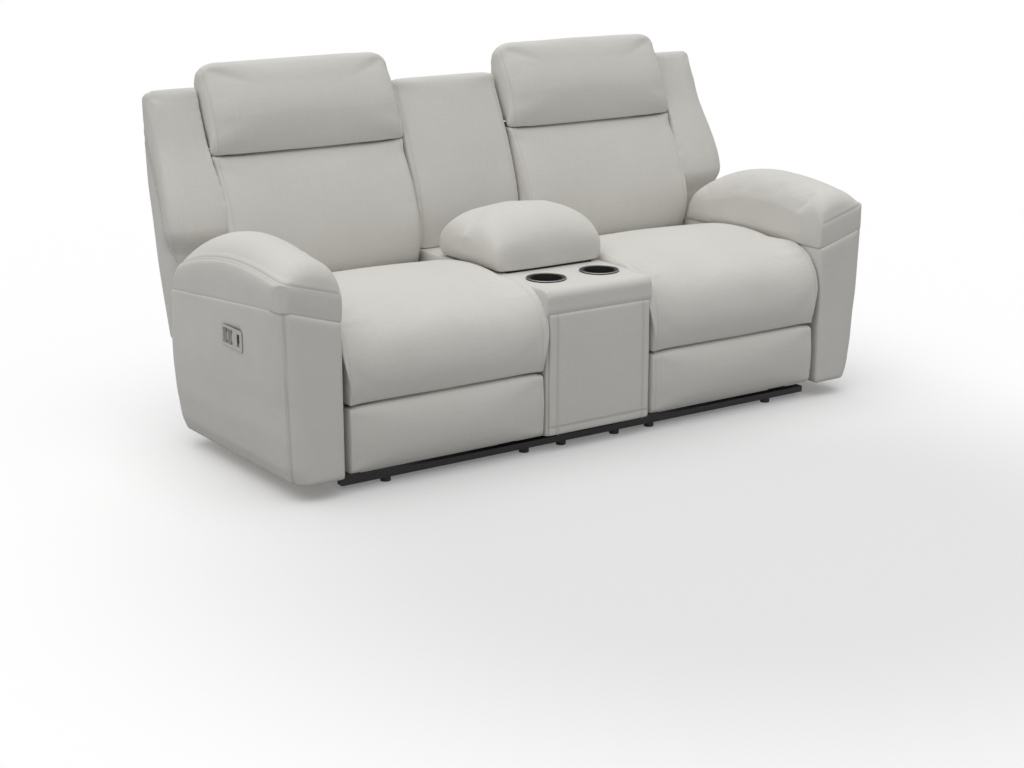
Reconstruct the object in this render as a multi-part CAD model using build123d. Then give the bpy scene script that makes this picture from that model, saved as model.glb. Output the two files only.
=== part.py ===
"""Power reclining loveseat with a centre console, as an assembly of separate solids.

Millimetres. X runs across the seats, Y from front to back, Z up from the floor. Depths are written as
the distance behind the front plane and heights as the distance above the floor.
"""
import math
import os

from build123d import *

# Layout across the loveseat
SEAT_WIDTH = 620.0
CONSOLE_WIDTH = 354.0
SIDE_GAP = 3.0
FRONT_TO_ORIGIN = 425.5
CLEARANCE = 0.3
EDGE_STEPS = (0.0, 0.06, 0.18, 0.38, 0.65, 1.0)

# Arms
ARM_WIDTH = 177.0
ARM_SIDE = ((0.0, 0.8), (0.1, 0.885), (0.3, 0.95), (0.6, 0.995), (0.7, 1.0), (1.0, 1.0))
ARM_DEPTH = 655.0
ARM_HEIGHT = 470.0
ARM_WALL = 18.0
ARM_FRONT_RADIUS = 52.0
ARM_REAR_RADIUS = 28.0
ARM_BOARD = 22.0
ARM_PAD_INNER_OVERHANG = 8.0
ARM_PAD_CREST = 178.0
ARM_PAD_SIDE_DROP = 0.72
ARM_PAD_INNER_SHARE = 0.47
UPHOLSTERY_BOTTOM = 44.0

# Seat
SEAT_BOARD_BOTTOM = 322.0
SEAT_BOARD_THICKNESS = 25.0
SEAT_BOARD_WIDTH = 50.0
SEAT_BOARD_FRONT = 98.0
SEAT_REAR = ARM_DEPTH - 33.0
SEAT_REAR_HEIGHT = 424.0
SEAT_CROWN = 486.0
SEAT_LIP_BOTTOM = 240.0
SEAT_LIP_THICKNESS = 76.0
SEAT_EDGE_DROP = 34.0
SPRING_COUNT = 5
SPRING_WIRE = 4.0
SPRING_SWING = 34.0
SPRING_BENDS = 11

# Footrest and its linkage
FOOTREST_TOP = 233.0
FOOTREST_BOTTOM = 46.0
FOOTREST_PAD_THICKNESS = 80.0
FOOTREST_BOARD_THICKNESS = 12.0
FOOTREST_BOARD_TOP = 214.0
FOOTREST_SWING = 88.0
FOOTREST_REACH = 350.0
FOOTREST_RISE = 180.0
FOOTREST_PIVOT_BEHIND_BOARD = 12.0
FOOTREST_PIVOT_HEIGHT = 200.0
CONTROL_ARM = 30.0
TUBE_DEPTH = 192.0
TUBE_HEIGHT = 285.0
TUBE_RADIUS = 10.0
REAR_LINK_OFFSET = (60.0, -4.0)
LINK_HALF_WIDTH = 11.0
CONTROL_HALF_WIDTH = 9.0
LINK_THICKNESS = 4.0
LAYER_GAP = 1.0
PIN_RADIUS = 5.0
PIN_CLEARANCE = 0.08
PIN_HEAD_RADIUS = 8.0
PIN_HEAD_THICKNESS = 2.0

# Mechanism plates and base
PLATE_SPACING = 464.0
PLATE_THICKNESS = 4.0
PLATE_BOTTOM = 258.0
PLATE_FRONT = 150.0
PLATE_REAR = ARM_DEPTH - 15.0
POST_WIDTH = 45.0
POST_FRONT = 380.0
POST_REAR = ARM_DEPTH - 95.0
FOOT_HEIGHT = 12.0
FLOOR_TUBE_HEIGHT = 18.0
FLOOR_TUBE_WIDTH = 25.0
FLOOR_TUBE_FRONT = 48.0
FLOOR_TUBE_REAR = ARM_DEPTH - 65.0
FOOT_RADIUS = 14.0
FOOT_INSET = 36.0
FOOT_OUTER_X = 654.0
CONSOLE_FOOT_X = 92.0
STRETCHER = 25.0
STRETCHER_HEIGHT = 200.0

# Footrest actuator
CRANK_RADIUS = 60.0
CRANK_PIN_RADIUS = 6.0
CRANK_WIDTH = 10.0
YOKE_CLEARANCE = 2.4
RAIL_WIDTH = 34.0
RAIL_HEIGHT = 16.0
RAIL_TOP = 206.0
RAIL_FRONT = 118.0
MOTOR_LENGTH = 110.0
MOTOR_RADIUS = 27.0

# Back
BACK_PIVOT = (ARM_DEPTH + 27.0, 350.0)
BACK_PIN_RADIUS = 8.0
BACK_LEAN = 5.5
BACK_FRAME_THICKNESS = 24.0
BACK_FRAME_REAR = ARM_DEPTH + 109.0
BACK_FRAME_BOTTOM = 300.0
BACK_MIDDLE_RAIL = 520.0
BACK_PAD_BOTTOM = 378.0
BACK_PAD_TOP = 776.0
BACK_BOARD_WIDTH = 42.0
BACK_GAP = 5.0
WING_TOP = 957.0
WING_WIDTH = 153.0
WING_BOARD_INSET = 34.0
WING_BOARD_DROP = 86.0
COVER_BOTTOM = 272.0
BACK_SWING = 35.0
BACK_LEVER = 60.0
BACK_LEVER_PIN = 5.0
BACK_YOKE_CLEARANCE = 0.6
ROD_RADIUS = 9.0
BACK_TUBE_RADIUS = 14.0

# Headrest
HEADREST_PIVOT = (ARM_DEPTH + 91.0, BACK_PAD_TOP + 8.0)
HEADREST_KNUCKLE = 6.0
HEADREST_PIN = 3.0
HEADREST_BOTTOM = BACK_PAD_TOP + 15.0
HEADREST_TOP = 1029.0
HEADREST_PLATE = 5.0
HEADREST_PLATE_RISE = 150.0
HEADREST_PLATE_HALF_WIDTH = 200.0
HEADREST_HINGE_X = 150.0

# Console
CONSOLE_FRONT = 12.0
CONSOLE_REAR = ARM_DEPTH + 45.0
CONSOLE_HEIGHT = 455.0
CONSOLE_WALL = 18.0
CONSOLE_FLOOR = 12.0
CONSOLE_EDGE_RADIUS = 20.0
CONSOLE_PANEL_THICKNESS = 8.0
CONSOLE_PANEL_TOP = CONSOLE_HEIGHT - 67.0
BIN_HALF_WIDTH = 131.0
BIN_INSET = 27.0
BIN_DEPTH = 240.0
BIN_WALL = 3.0
BIN_FLANGE = 12.0
CUP_X = 90.0
CUP_DEPTH_BACK = 138.0
CUP_RADIUS = 46.0
CUP_WALL = 2.0
CUP_FLANGE_RADIUS = 56.0
CUP_DEEP = 78.0
LID_FRONT = 232.0
LID_REAR = ARM_DEPTH - 86.0
LID_BOTTOM = CONSOLE_HEIGHT + 4.0
LID_TALL = 154.0
LID_TAPER = 15.0
LID_SIDE_DROP = 0.36
LID_ROLL = 96.0
LID_BOARD_THICKNESS = 12.0
LID_BOARD_INSET = 40.0
LID_PIVOT = (LID_REAR + 7.0, CONSOLE_HEIGHT + 8.0)
LID_BARREL_RADIUS = 5.0
LID_PIN_RADIUS = 2.5
LID_LEAF = 2.4
LID_HINGE_HALF_LENGTH = 120.0
LID_KNUCKLES = 5
CENTRE_BACK_TOP = 943.0
CENTRE_BACK_BOTTOM = 285.0
CENTRE_BACK_FRONT = ARM_DEPTH - 3.0

# Switches
SWITCH_DEPTH = 263.0
SWITCH_HEIGHT = 389.0
SWITCH_LENGTH = 118.0
SWITCH_TALL = 56.0
SWITCH_PROUD = 2.5
SWITCH_BOX_DEEP = 16.0
SWITCH_BOX_MARGIN = 6.0
ROCKER_LENGTH = 21.0
ROCKER_TALL = 36.0
ROCKER_GAP = 0.6
ROCKER_PLACES = (38.0, 10.0)
ROCKER_BELOW = 3.0
ROCKER_ABOVE = 5.0
ROCKER_AXLE_RADIUS = 2.0
ROCKER_AXLE_REACH = 1.6
PORT_PLACE = -38.0

# Power supply
SUPPLY_LENGTH = 150.0
SUPPLY_WIDTH = 60.0
SUPPLY_HEIGHT = 42.0
INLET_WIDTH = 24.0
INLET_HEIGHT = 16.0
INLET_DEPTH = 8.0
INLET_RISE = 12.0

# Places that follow from the sizes above
CONSOLE_HALF = CONSOLE_WIDTH / 2
SEAT_IN_X = CONSOLE_HALF + SIDE_GAP
SEAT_OUT_X = SEAT_IN_X + SEAT_WIDTH
SEAT_X = (SEAT_IN_X + SEAT_OUT_X) / 2
ARM_IN_X = SEAT_OUT_X + SIDE_GAP
BIN_FRONT = LID_FRONT + BIN_INSET
BIN_REAR = LID_REAR - BIN_INSET
SEAT_BOARD_TOP = SEAT_BOARD_BOTTOM + SEAT_BOARD_THICKNESS
SEAT_BOARD_REAR = SEAT_REAR - 10.0
FLOOR_TUBE_TOP = FOOT_HEIGHT + FLOOR_TUBE_HEIGHT
BACK_IN_X = CONSOLE_HALF + BACK_GAP + 5.0
BACK_OUT_X = SEAT_OUT_X - SIDE_GAP
WING_IN_X = SEAT_OUT_X
WING_OUT_X = WING_IN_X + WING_WIDTH
LAYER = LINK_THICKNESS + LAYER_GAP


def at(depth, height):
    """A point of the side view in Y and Z."""
    return (depth - FRONT_TO_ORIGIN, height)


def behind(distance, height):
    """A side view point some way behind the arms' rear faces."""
    return (ARM_DEPTH + distance, height)


def plus(a, b):
    """Sum of two side view points."""
    return (a[0] + b[0], a[1] + b[1])


def minus(a, b):
    """Difference of two side view points."""
    return (a[0] - b[0], a[1] - b[1])


def polar(length, degrees):
    """A side view step of a given length and direction."""
    angle = math.radians(degrees)
    return (length * math.cos(angle), length * math.sin(angle))


def turned(step, degrees):
    """A side view step turned clockwise, which is the way the footrest and the back open."""
    c = math.cos(math.radians(degrees))
    s = math.sin(math.radians(degrees))
    return (step[0] * c + step[1] * s, -step[0] * s + step[1] * c)


def footrest_linkage():
    """Pivots of the footrest linkage at rest: two parallelograms that share the front link."""
    centre = (
        FOOTREST_PAD_THICKNESS + FOOTREST_BOARD_THICKNESS / 2,
        (FOOTREST_TOP + FOOTREST_BOTTOM) / 2,
    )
    board_rear = FOOTREST_PAD_THICKNESS + FOOTREST_BOARD_THICKNESS
    hang = (board_rear + FOOTREST_PIVOT_BEHIND_BOARD, FOOTREST_PIVOT_HEIGHT)
    arm = minus(hang, centre)
    travel = minus(plus((-FOOTREST_REACH, FOOTREST_RISE), turned(arm, FOOTREST_SWING)), arm)
    half = FOOTREST_SWING / 2
    length = math.hypot(*travel) / (2 * math.sin(math.radians(half)))
    middle = math.degrees(math.atan2(travel[1], travel[0])) + 90
    tube = (TUBE_DEPTH, TUBE_HEIGHT)
    knee = plus(tube, polar(length, middle + half))
    reach = minus(hang, knee)
    across = math.degrees(math.atan2(reach[1], reach[0])) - 90 + half
    control = polar(CONTROL_ARM, across)
    return {
        "tube": tube,
        "knee": knee,
        "hang": hang,
        "rear_top": plus(tube, REAR_LINK_OFFSET),
        "rear_knee": plus(knee, REAR_LINK_OFFSET),
        "control_knee": plus(knee, control),
        "control_hang": plus(hang, control),
        "crank": plus(tube, polar(CRANK_RADIUS, -90 + half)),
    }


def loop(start, *steps):
    """A closed side view face. A step is a point for a straight run or (via, end) for an arc."""
    edges = []
    here = start
    for step in steps:
        if isinstance(step[0], tuple):
            edges.append(ThreePointArc(at(*here), at(*step[0]), at(*step[1])))
            here = step[1]
        else:
            edges.append(Line(at(*here), at(*step)))
            here = step
    edges.append(Line(at(*here), at(*start)))
    return Face(Wire(edges))


def prism(face, x_from, x_to):
    """A side view face pulled along X."""
    return extrude(Plane.YZ.offset(x_from) * face, amount=x_to - x_from, dir=(1, 0, 0))


def box(x_from, x_to, depth_from, depth_to, z_from, z_to):
    """A plain block between two depths and two heights."""
    size = (x_to - x_from, depth_to - depth_from, z_to - z_from)
    middle = ((x_from + x_to) / 2, (depth_from + depth_to) / 2 - FRONT_TO_ORIGIN, (z_from + z_to) / 2)
    return Pos(*middle) * Box(*size)


def rod(point, radius, x_from, x_to):
    """A round bar along X through a side view point."""
    y, z = at(*point)
    return Plane.YZ.offset(x_from) * Pos(y, z, (x_to - x_from) / 2) * Cylinder(radius, x_to - x_from)


def bar(depth_from, depth_to, height, x, radius):
    """A round bar along Y."""
    length = depth_to - depth_from
    middle = (depth_from + depth_to) / 2 - FRONT_TO_ORIGIN
    return Pos(x, middle, height) * Rot(90, 0, 0) * Cylinder(radius, length)


def strip(first, last, half_width, x_from, x_to):
    """A flat link with round ends between two side view points."""
    step = minus(last, first)
    middle = plus(first, (step[0] / 2, step[1] / 2))
    angle = math.degrees(math.atan2(step[1], step[0]))
    slot = SlotCenterToCenter(math.hypot(*step), 2 * half_width)
    outline = Pos(*at(*middle)) * Rot(0, 0, angle) * slot
    return prism(outline.faces()[0], x_from, x_to)


def crowned(profile, stations):
    """A soft form through side view profiles, drawn in where the station's share is larger."""
    return loft([Plane.YZ.offset(x) * profile(share) for x, share in stations], ruled=True)


def roll_stations(x_from, x_to, roll, crown):
    """Stations of a rolled edge at both ends: a quarter ellipse as wide as roll, then a slight crown."""
    steps = []
    for t in EDGE_STEPS:
        share = 1 - math.sqrt(1 - (1 - t) ** 2)
        steps.append((roll * t, crown + (1 - crown) * share))
    near = [(x_from + step, share) for step, share in steps]
    far = [(x_to - step, share) for step, share in reversed(steps)]
    return near + [((x_from + x_to) / 2, 0.0)] + far


def other_side(shape):
    """The same piece on the viewer's left."""
    return mirror(shape, about=Plane.YZ)


def save(node, *shapes):
    """Writes one node with each of its solids."""
    solids = [solid for shape in shapes for solid in shape.solids()]
    whole = solids[0] if len(solids) == 1 else Compound(children=solids)
    export_step(whole, "parts/" + node + ".step")


def save_pair(name, *shapes):
    """Writes a right hand node and its mirrored left hand node."""
    save("right_" + name, *shapes)
    save("left_" + name, *[other_side(shape) for shape in shapes])


def arm_plan(width, inset):
    """Plan of the arm at one height, with its rounded outer corners."""
    x_from = ARM_IN_X + inset
    x_to = ARM_IN_X + width - inset
    y_from = at(inset, 0)[0]
    y_to = at(ARM_DEPTH - inset, 0)[0]
    front = ARM_FRONT_RADIUS - inset
    rear = ARM_REAR_RADIUS - inset
    k = 1 - math.sqrt(0.5)
    edges = [
        Line((x_from, y_from), (x_to - front, y_from)),
        ThreePointArc((x_to - front, y_from), (x_to - front * k, y_from + front * k), (x_to, y_from + front)),
        Line((x_to, y_from + front), (x_to, y_to - rear)),
        ThreePointArc((x_to, y_to - rear), (x_to - rear * k, y_to - rear * k), (x_to - rear, y_to)),
        Line((x_to - rear, y_to), (x_from, y_to)),
        Line((x_from, y_to), (x_from, y_from)),
    ]
    return Face(Wire(edges))


def switch_plane():
    """A plane on the upright part of the arm's outer face, with its own X towards the rear and Y up."""
    origin = (ARM_IN_X + ARM_WIDTH, SWITCH_DEPTH - FRONT_TO_ORIGIN, SWITCH_HEIGHT)
    return Plane(origin=origin, x_dir=(0, 1, 0), z_dir=(1, 0, 0))


def arm_form(inset, top):
    """The arm's outer form up to a height, drawn in by an inset, narrower towards the floor."""
    low = UPHOLSTERY_BOTTOM
    plans = []
    for rise, width in ARM_SIDE:
        plans.append(Plane.XY.offset(low + (top - low) * rise) * arm_plan(ARM_WIDTH * width, inset))
    return loft(plans, ruled=True)


def arms():
    """Arm panels, pads, frames and switches."""
    low = UPHOLSTERY_BOTTOM
    place = switch_plane()
    box_length = SWITCH_LENGTH - 2 * SWITCH_BOX_MARGIN
    box_tall = SWITCH_TALL - 2 * SWITCH_BOX_MARGIN
    pocket = place * Pos(0, 0, -ARM_WALL) * Box(box_length, box_tall, 4 * ARM_WALL)
    panel = arm_form(0, ARM_HEIGHT) - arm_form(ARM_WALL, ARM_HEIGHT - ARM_WALL) - pocket
    save_pair("arm_panel", panel)

    x_from = ARM_IN_X + ARM_WALL
    x_to = ARM_IN_X + ARM_WIDTH * ARM_SIDE[0][1] - ARM_WALL
    top = ARM_HEIGHT - ARM_WALL
    front = ARM_WALL + ARM_FRONT_RADIUS
    rear = ARM_DEPTH - ARM_WALL - ARM_REAR_RADIUS
    rail = box(x_from, x_to, front, rear, top - ARM_BOARD, top)
    posts = [
        box(x_from, x_to, front, front + ARM_BOARD, low, top - ARM_BOARD),
        box(x_from, x_to, rear - ARM_BOARD, rear, low, top - ARM_BOARD),
    ]
    floor = box(x_from, x_to, front + ARM_BOARD, rear - ARM_BOARD, low, low + ARM_BOARD)
    boards = [rail, posts[0], posts[1], floor]
    save("arm_frames", *boards, *[other_side(b) for b in boards])
    arm_pads()
    switches(place, box_length, box_tall)


def arm_pad_profile(share):
    """Side view of an arm pad: a full arch, highest just before the middle, lower at its sides."""
    low = ARM_HEIGHT
    tall = ARM_PAD_CREST * (1 - ARM_PAD_SIDE_DROP * share)
    tuck = 5.0 * share
    length = ARM_DEPTH - 13.0 - tuck
    return loop(
        (10.0 + tuck, low),
        ((2.0 + tuck, low + tall * 0.26), (4.0 + tuck, low + tall * 0.58)),
        ((22.0 + tuck, low + tall * 0.76), (66.0 + tuck, low + tall * 0.87)),
        ((length * 0.31, low + tall * 0.98), (length * 0.49, low + tall)),
        ((length * 0.78, low + tall * 0.79), (length * 0.935, low + tall * 0.55)),
        ((length - 12.0, low + tall * 0.3), (length, low)),
    )


def arm_pads():
    """Arched pads with a domed cross section that falls further on the outer side."""
    inner = ARM_IN_X - ARM_PAD_INNER_OVERHANG
    outer = ARM_IN_X + ARM_WIDTH
    middle = (inner + outer) / 2
    stations = []
    for x, share in roll_stations(inner, outer, (outer - inner) / 2 - 8.0, 0.02):
        stations.append((x, share * ARM_PAD_INNER_SHARE if x < middle else share))
    save_pair("arm_pad", crowned(arm_pad_profile, stations))


def switches(place, box_length, box_tall):
    """Switch plates set in the arms, each with two rocker buttons and a blank port recess."""
    plate = extrude(place * RectangleRounded(SWITCH_LENGTH, SWITCH_TALL, 6.0), amount=SWITCH_PROUD)
    body = place * Pos(0, 0, -SWITCH_BOX_DEEP / 2) * Box(box_length, box_tall, SWITCH_BOX_DEEP)
    plate = plate + body
    well_deep = ROCKER_BELOW + 2.4
    rockers = []
    for spot in ROCKER_PLACES:
        well = place * Pos(spot, 0, (SWITCH_PROUD - well_deep) / 2) * Box(
            ROCKER_LENGTH + 2 * ROCKER_GAP, ROCKER_TALL + 2 * ROCKER_GAP, SWITCH_PROUD + well_deep
        )
        axle_length = ROCKER_LENGTH + 2 * ROCKER_GAP + 2 * ROCKER_AXLE_REACH
        seat = place * Pos(spot, 0, 0) * Rot(0, 90, 0) * Cylinder(
            ROCKER_AXLE_RADIUS + PIN_CLEARANCE, axle_length + 0.4
        )
        plate = plate - well - seat
        edges = [
            Line((-ROCKER_TALL / 2, -ROCKER_BELOW), (ROCKER_TALL / 2, -ROCKER_BELOW)),
            Line((ROCKER_TALL / 2, -ROCKER_BELOW), (ROCKER_TALL / 2, ROCKER_ABOVE)),
            ThreePointArc(
                (ROCKER_TALL / 2, ROCKER_ABOVE), (0, ROCKER_ABOVE - 2.5), (-ROCKER_TALL / 2, ROCKER_ABOVE)
            ),
            Line((-ROCKER_TALL / 2, ROCKER_ABOVE), (-ROCKER_TALL / 2, -ROCKER_BELOW)),
        ]
        profile = Face(Wire(edges))
        across = Plane(origin=(spot - ROCKER_LENGTH / 2, 0, 0), x_dir=(0, 1, 0), z_dir=(1, 0, 0))
        key = extrude(across * profile, amount=ROCKER_LENGTH, dir=(1, 0, 0))
        axle = Pos(spot, 0, 0) * Rot(0, 90, 0) * Cylinder(ROCKER_AXLE_RADIUS, axle_length)
        rockers.append(place.location * (key + axle))
    port = place * Pos(PORT_PLACE, 0, 0) * Box(15.0, 32.0, 9.0)
    save_pair("switch_plate", plate - port)
    save_pair("recline_rocker", rockers[0])
    save_pair("headrest_rocker", rockers[1])


def seat_profile(share):
    """Side view of the seat cushion with its lip, lower and further back towards the cushion's ends."""
    drop = SEAT_EDGE_DROP * share
    back = 10.0 * share
    top = SEAT_BOARD_TOP
    lip = SEAT_LIP_THICKNESS
    front_top = (62.0 + back, SEAT_CROWN - 48.0 - drop)
    return loop(
        (lip, SEAT_LIP_BOTTOM + 24.0),
        (lip - 22.0, SEAT_LIP_BOTTOM),
        (10.0 + back, SEAT_LIP_BOTTOM),
        ((6.0 + back, SEAT_LIP_BOTTOM + 118.0 - drop * 0.6), front_top),
        ((320.0, SEAT_CROWN - drop), (SEAT_REAR, SEAT_REAR_HEIGHT - drop * 0.4)),
        (SEAT_REAR, top),
        (SEAT_BOARD_FRONT, top),
        (lip, top - 18.0),
    )


def seats():
    """Seat boards, springs and cushions."""
    x_from = SEAT_IN_X - SIDE_GAP
    x_to = SEAT_OUT_X + SIDE_GAP
    low = SEAT_BOARD_BOTTOM
    top = SEAT_BOARD_TOP
    front = SEAT_BOARD_FRONT
    rear = SEAT_BOARD_REAR
    width = SEAT_BOARD_WIDTH
    boards = [
        box(x_from, x_to, front, front + width, low, top),
        box(x_from, x_to, rear - width, rear, low, top),
    ]
    for side in (-1, 1):
        middle = SEAT_X + side * PLATE_SPACING / 2
        boards.append(box(middle - width / 2, middle + width / 2, front + width, rear - width, low, top))
    save("seat_boards", *boards, *[other_side(b) for b in boards])

    run = rear - front - 2 * width
    inside = PLATE_SPACING - width
    pitch = inside / SPRING_COUNT
    springs = []
    for number in range(SPRING_COUNT):
        x = SEAT_X - inside / 2 + pitch * (number + 0.5)
        points = []
        for bend in range(SPRING_BENDS + 1):
            inner_bend = 0 < bend < SPRING_BENDS
            swing = SPRING_SWING / 2 * (-1 if bend % 2 else 1) if inner_bend else 0.0
            points.append((x + swing, at(front + width + run * bend / SPRING_BENDS, 0)[0]))
        shape = trace(Polyline(*points), SPRING_WIRE)
        wire = extrude(Pos(0, 0, low + SPRING_WIRE) * shape, amount=SPRING_WIRE)
        springs.append(wire & box(0, 2 * SEAT_X, front + width, rear - width, low, top))
    save("seat_springs", *springs, *[other_side(s) for s in springs])

    stations = roll_stations(SEAT_IN_X + CLEARANCE, SEAT_OUT_X - CLEARANCE, 90.0, 0.16)
    save_pair("seat_cushion", crowned(seat_profile, stations))


def layers(side):
    """X spans of the four link layers next to one mechanism plate, counted inwards from the plate."""
    face = SEAT_X + side * (PLATE_SPACING / 2 - PLATE_THICKNESS / 2)
    spans = []
    for number in range(4):
        near = face - side * (LAYER_GAP + LAYER * number)
        far = near - side * LINK_THICKNESS
        spans.append((min(near, far), max(near, far)))
    return spans


def span_over(first, last):
    """The X span that covers two layers."""
    return (min(first[0], last[0]), max(first[1], last[1]))


def head_span(layer, side):
    """The X span of a rivet head just inside a layer."""
    if side > 0:
        return (layer[0] - LAYER_GAP / 2 - PIN_HEAD_THICKNESS, layer[0] - LAYER_GAP / 2)
    return (layer[1] + LAYER_GAP / 2, layer[1] + LAYER_GAP / 2 + PIN_HEAD_THICKNESS)


def rivet(point, first, last, side, radius):
    """A pin through two layers with a head inside the last one."""
    head = head_span(last, side)
    whole = span_over(span_over(first, last), head)
    return rod(point, radius, *whole) + rod(point, PIN_HEAD_RADIUS, *head)


def footrests():
    """Footrest pads, boards and the double parallelogram linkage that carries them."""
    p = footrest_linkage()
    hole = PIN_RADIUS + PIN_CLEARANCE
    loose = PIN_RADIUS + CLEARANCE
    drive = rod(
        p["tube"],
        TUBE_RADIUS,
        SEAT_X - PLATE_SPACING / 2 - PLATE_THICKNESS,
        SEAT_X + PLATE_SPACING / 2 + PLATE_THICKNESS,
    )
    rear_links = []
    front_links = []
    control_links = []
    brackets = []
    board_rear = FOOTREST_PAD_THICKNESS + FOOTREST_BOARD_THICKNESS
    for side in (-1, 1):
        control, main, front, _ = layers(side)
        arm = strip(p["tube"], p["knee"], LINK_HALF_WIDTH, *main)
        arm = arm + strip(p["knee"], p["control_knee"], LINK_HALF_WIDTH, *main)
        arm = arm + rivet(p["knee"], main, front, side, PIN_RADIUS)
        drive = drive + arm + rod(p["control_knee"], PIN_RADIUS, *span_over(main, control))
        rear = strip(p["rear_top"], p["rear_knee"], LINK_HALF_WIDTH, *main)
        rear = rear + rivet(p["rear_knee"], main, front, side, PIN_RADIUS)
        rear_links.append(rear - rod(p["rear_top"], hole, *main))
        link = strip(p["knee"], p["rear_knee"], LINK_HALF_WIDTH, *front)
        link = link + strip(p["knee"], p["hang"], LINK_HALF_WIDTH, *front)
        link = link - rod(p["knee"], hole, *front) - rod(p["rear_knee"], loose, *front)
        front_links.append(link - rod(p["hang"], hole, *front))
        link = strip(p["control_knee"], p["control_hang"], CONTROL_HALF_WIDTH, *control)
        control_links.append(
            link - rod(p["control_knee"], hole, *control) - rod(p["control_hang"], loose, *control)
        )
        foot = strip(p["hang"], p["control_hang"], CONTROL_HALF_WIDTH, *main)
        web = loop(
            (board_rear, FOOTREST_BOARD_TOP - 80.0),
            (board_rear + 8.0, FOOTREST_BOARD_TOP - 80.0),
            plus(p["hang"], (CONTROL_HALF_WIDTH, -4.0)),
            plus(p["hang"], (0.0, CONTROL_HALF_WIDTH)),
            (board_rear, FOOTREST_PIVOT_HEIGHT + CONTROL_HALF_WIDTH),
        )
        foot = foot + prism(web, *main)
        flange = box(
            min(main[0], main[1] - 30.0 if side > 0 else main[0]),
            max(main[1], main[0] + 30.0 if side < 0 else main[1]),
            board_rear,
            board_rear + 3.0,
            FOOTREST_BOARD_TOP - 100.0,
            FOOTREST_BOARD_TOP - 30.0,
        )
        foot = foot + flange + rivet(p["hang"], main, front, side, PIN_RADIUS)
        brackets.append(foot + rod(p["control_hang"], PIN_RADIUS, *span_over(main, control)))
    half = CRANK_WIDTH / 2
    crank = strip(p["tube"], p["crank"], LINK_HALF_WIDTH, SEAT_X - half, SEAT_X + half)
    drive = drive + crank + rod(p["crank"], CRANK_PIN_RADIUS, SEAT_X - 3 * half, SEAT_X + 3 * half)
    save_pair("drive_links", drive)
    save_pair("rear_links", *rear_links)
    save_pair("front_links", *front_links)
    save_pair("control_links", *control_links)

    board = box(
        SEAT_IN_X + 20.0,
        SEAT_OUT_X - 20.0,
        FOOTREST_PAD_THICKNESS,
        board_rear,
        FOOTREST_BOTTOM + 4.0,
        FOOTREST_BOARD_TOP,
    )
    save_pair("footrest_board", board)
    save_pair("footrest_brackets", *brackets)
    stations = roll_stations(SEAT_IN_X + 1.0, SEAT_OUT_X - 1.0, 40.0, 0.1)
    save_pair("footrest_pad", crowned(footrest_profile, stations))
    actuators(p)


def footrest_profile(share):
    """Side view of the footrest pad: a full front, soft corners and a top that falls to the rear."""
    back = 14.0 * share
    low = FOOTREST_BOTTOM + 2.0 * share
    top = FOOTREST_TOP - 3.0 * share
    middle = (low + top) / 2
    rear = FOOTREST_PAD_THICKNESS
    return loop(
        (rear, low),
        (22.0 + back, low),
        ((7.0 + back, low + 8.0), (4.0 + back, low + 28.0)),
        ((0.0 + back, middle), (4.0 + back, top - 28.0)),
        ((8.0 + back, top - 7.0), (24.0 + back, top)),
        (rear, top - 14.0),
    )


def actuators(p):
    """Motors, guide rails and carriages that turn the torque tubes."""
    half = CRANK_WIDTH / 2
    reach = RAIL_WIDTH / 2
    motor_front = FLOOR_TUBE_REAR - 40.0 - MOTOR_LENGTH
    rail = box(SEAT_X - reach, SEAT_X + reach, RAIL_FRONT, motor_front, RAIL_TOP - RAIL_HEIGHT, RAIL_TOP)
    axis = RAIL_TOP - RAIL_HEIGHT / 2
    motor = bar(motor_front, motor_front + MOTOR_LENGTH, axis, SEAT_X, MOTOR_RADIUS)
    gear = box(SEAT_X - 34.0, SEAT_X + 34.0, motor_front, motor_front + 46.0, axis - 34.0, axis + 34.0)
    motor = motor + gear
    save("footrest_actuators", motor, rail, other_side(motor), other_side(rail))

    gap = CRANK_PIN_RADIUS + YOKE_CLEARANCE
    inner = half + 1.0
    outer = 3 * half + 1.0
    pin = p["crank"]
    low = TUBE_HEIGHT - CRANK_RADIUS - LINK_HALF_WIDTH - 2.0
    high = pin[1] + CRANK_PIN_RADIUS + 5.0
    carriage = box(
        SEAT_X - reach - 6.0,
        SEAT_X + reach + 6.0,
        pin[0] - 26.0,
        pin[0] + 26.0,
        RAIL_TOP - 22.0,
        low,
    )
    carriage = carriage - box(
        SEAT_X - reach - CLEARANCE,
        SEAT_X + reach + CLEARANCE,
        pin[0] - 30.0,
        pin[0] + 30.0,
        RAIL_TOP - 30.0,
        RAIL_TOP + CLEARANCE,
    )
    for side in (-1, 1):
        near = SEAT_X + side * inner
        far = SEAT_X + side * outer
        cheek = box(min(near, far), max(near, far), pin[0] - 20.0, pin[0] + 20.0, low - 2.0, high)
        slot = box(min(near, far), max(near, far), pin[0] - gap, pin[0] + gap, low, high + 2.0)
        carriage = carriage + (cheek - slot)
    save_pair("drive_carriage", carriage)


def back_points():
    """Places on the back that its actuator needs: the lever pin at rest."""
    half = BACK_SWING / 2
    return plus(BACK_PIVOT, polar(BACK_LEVER, -90 + half))


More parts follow.
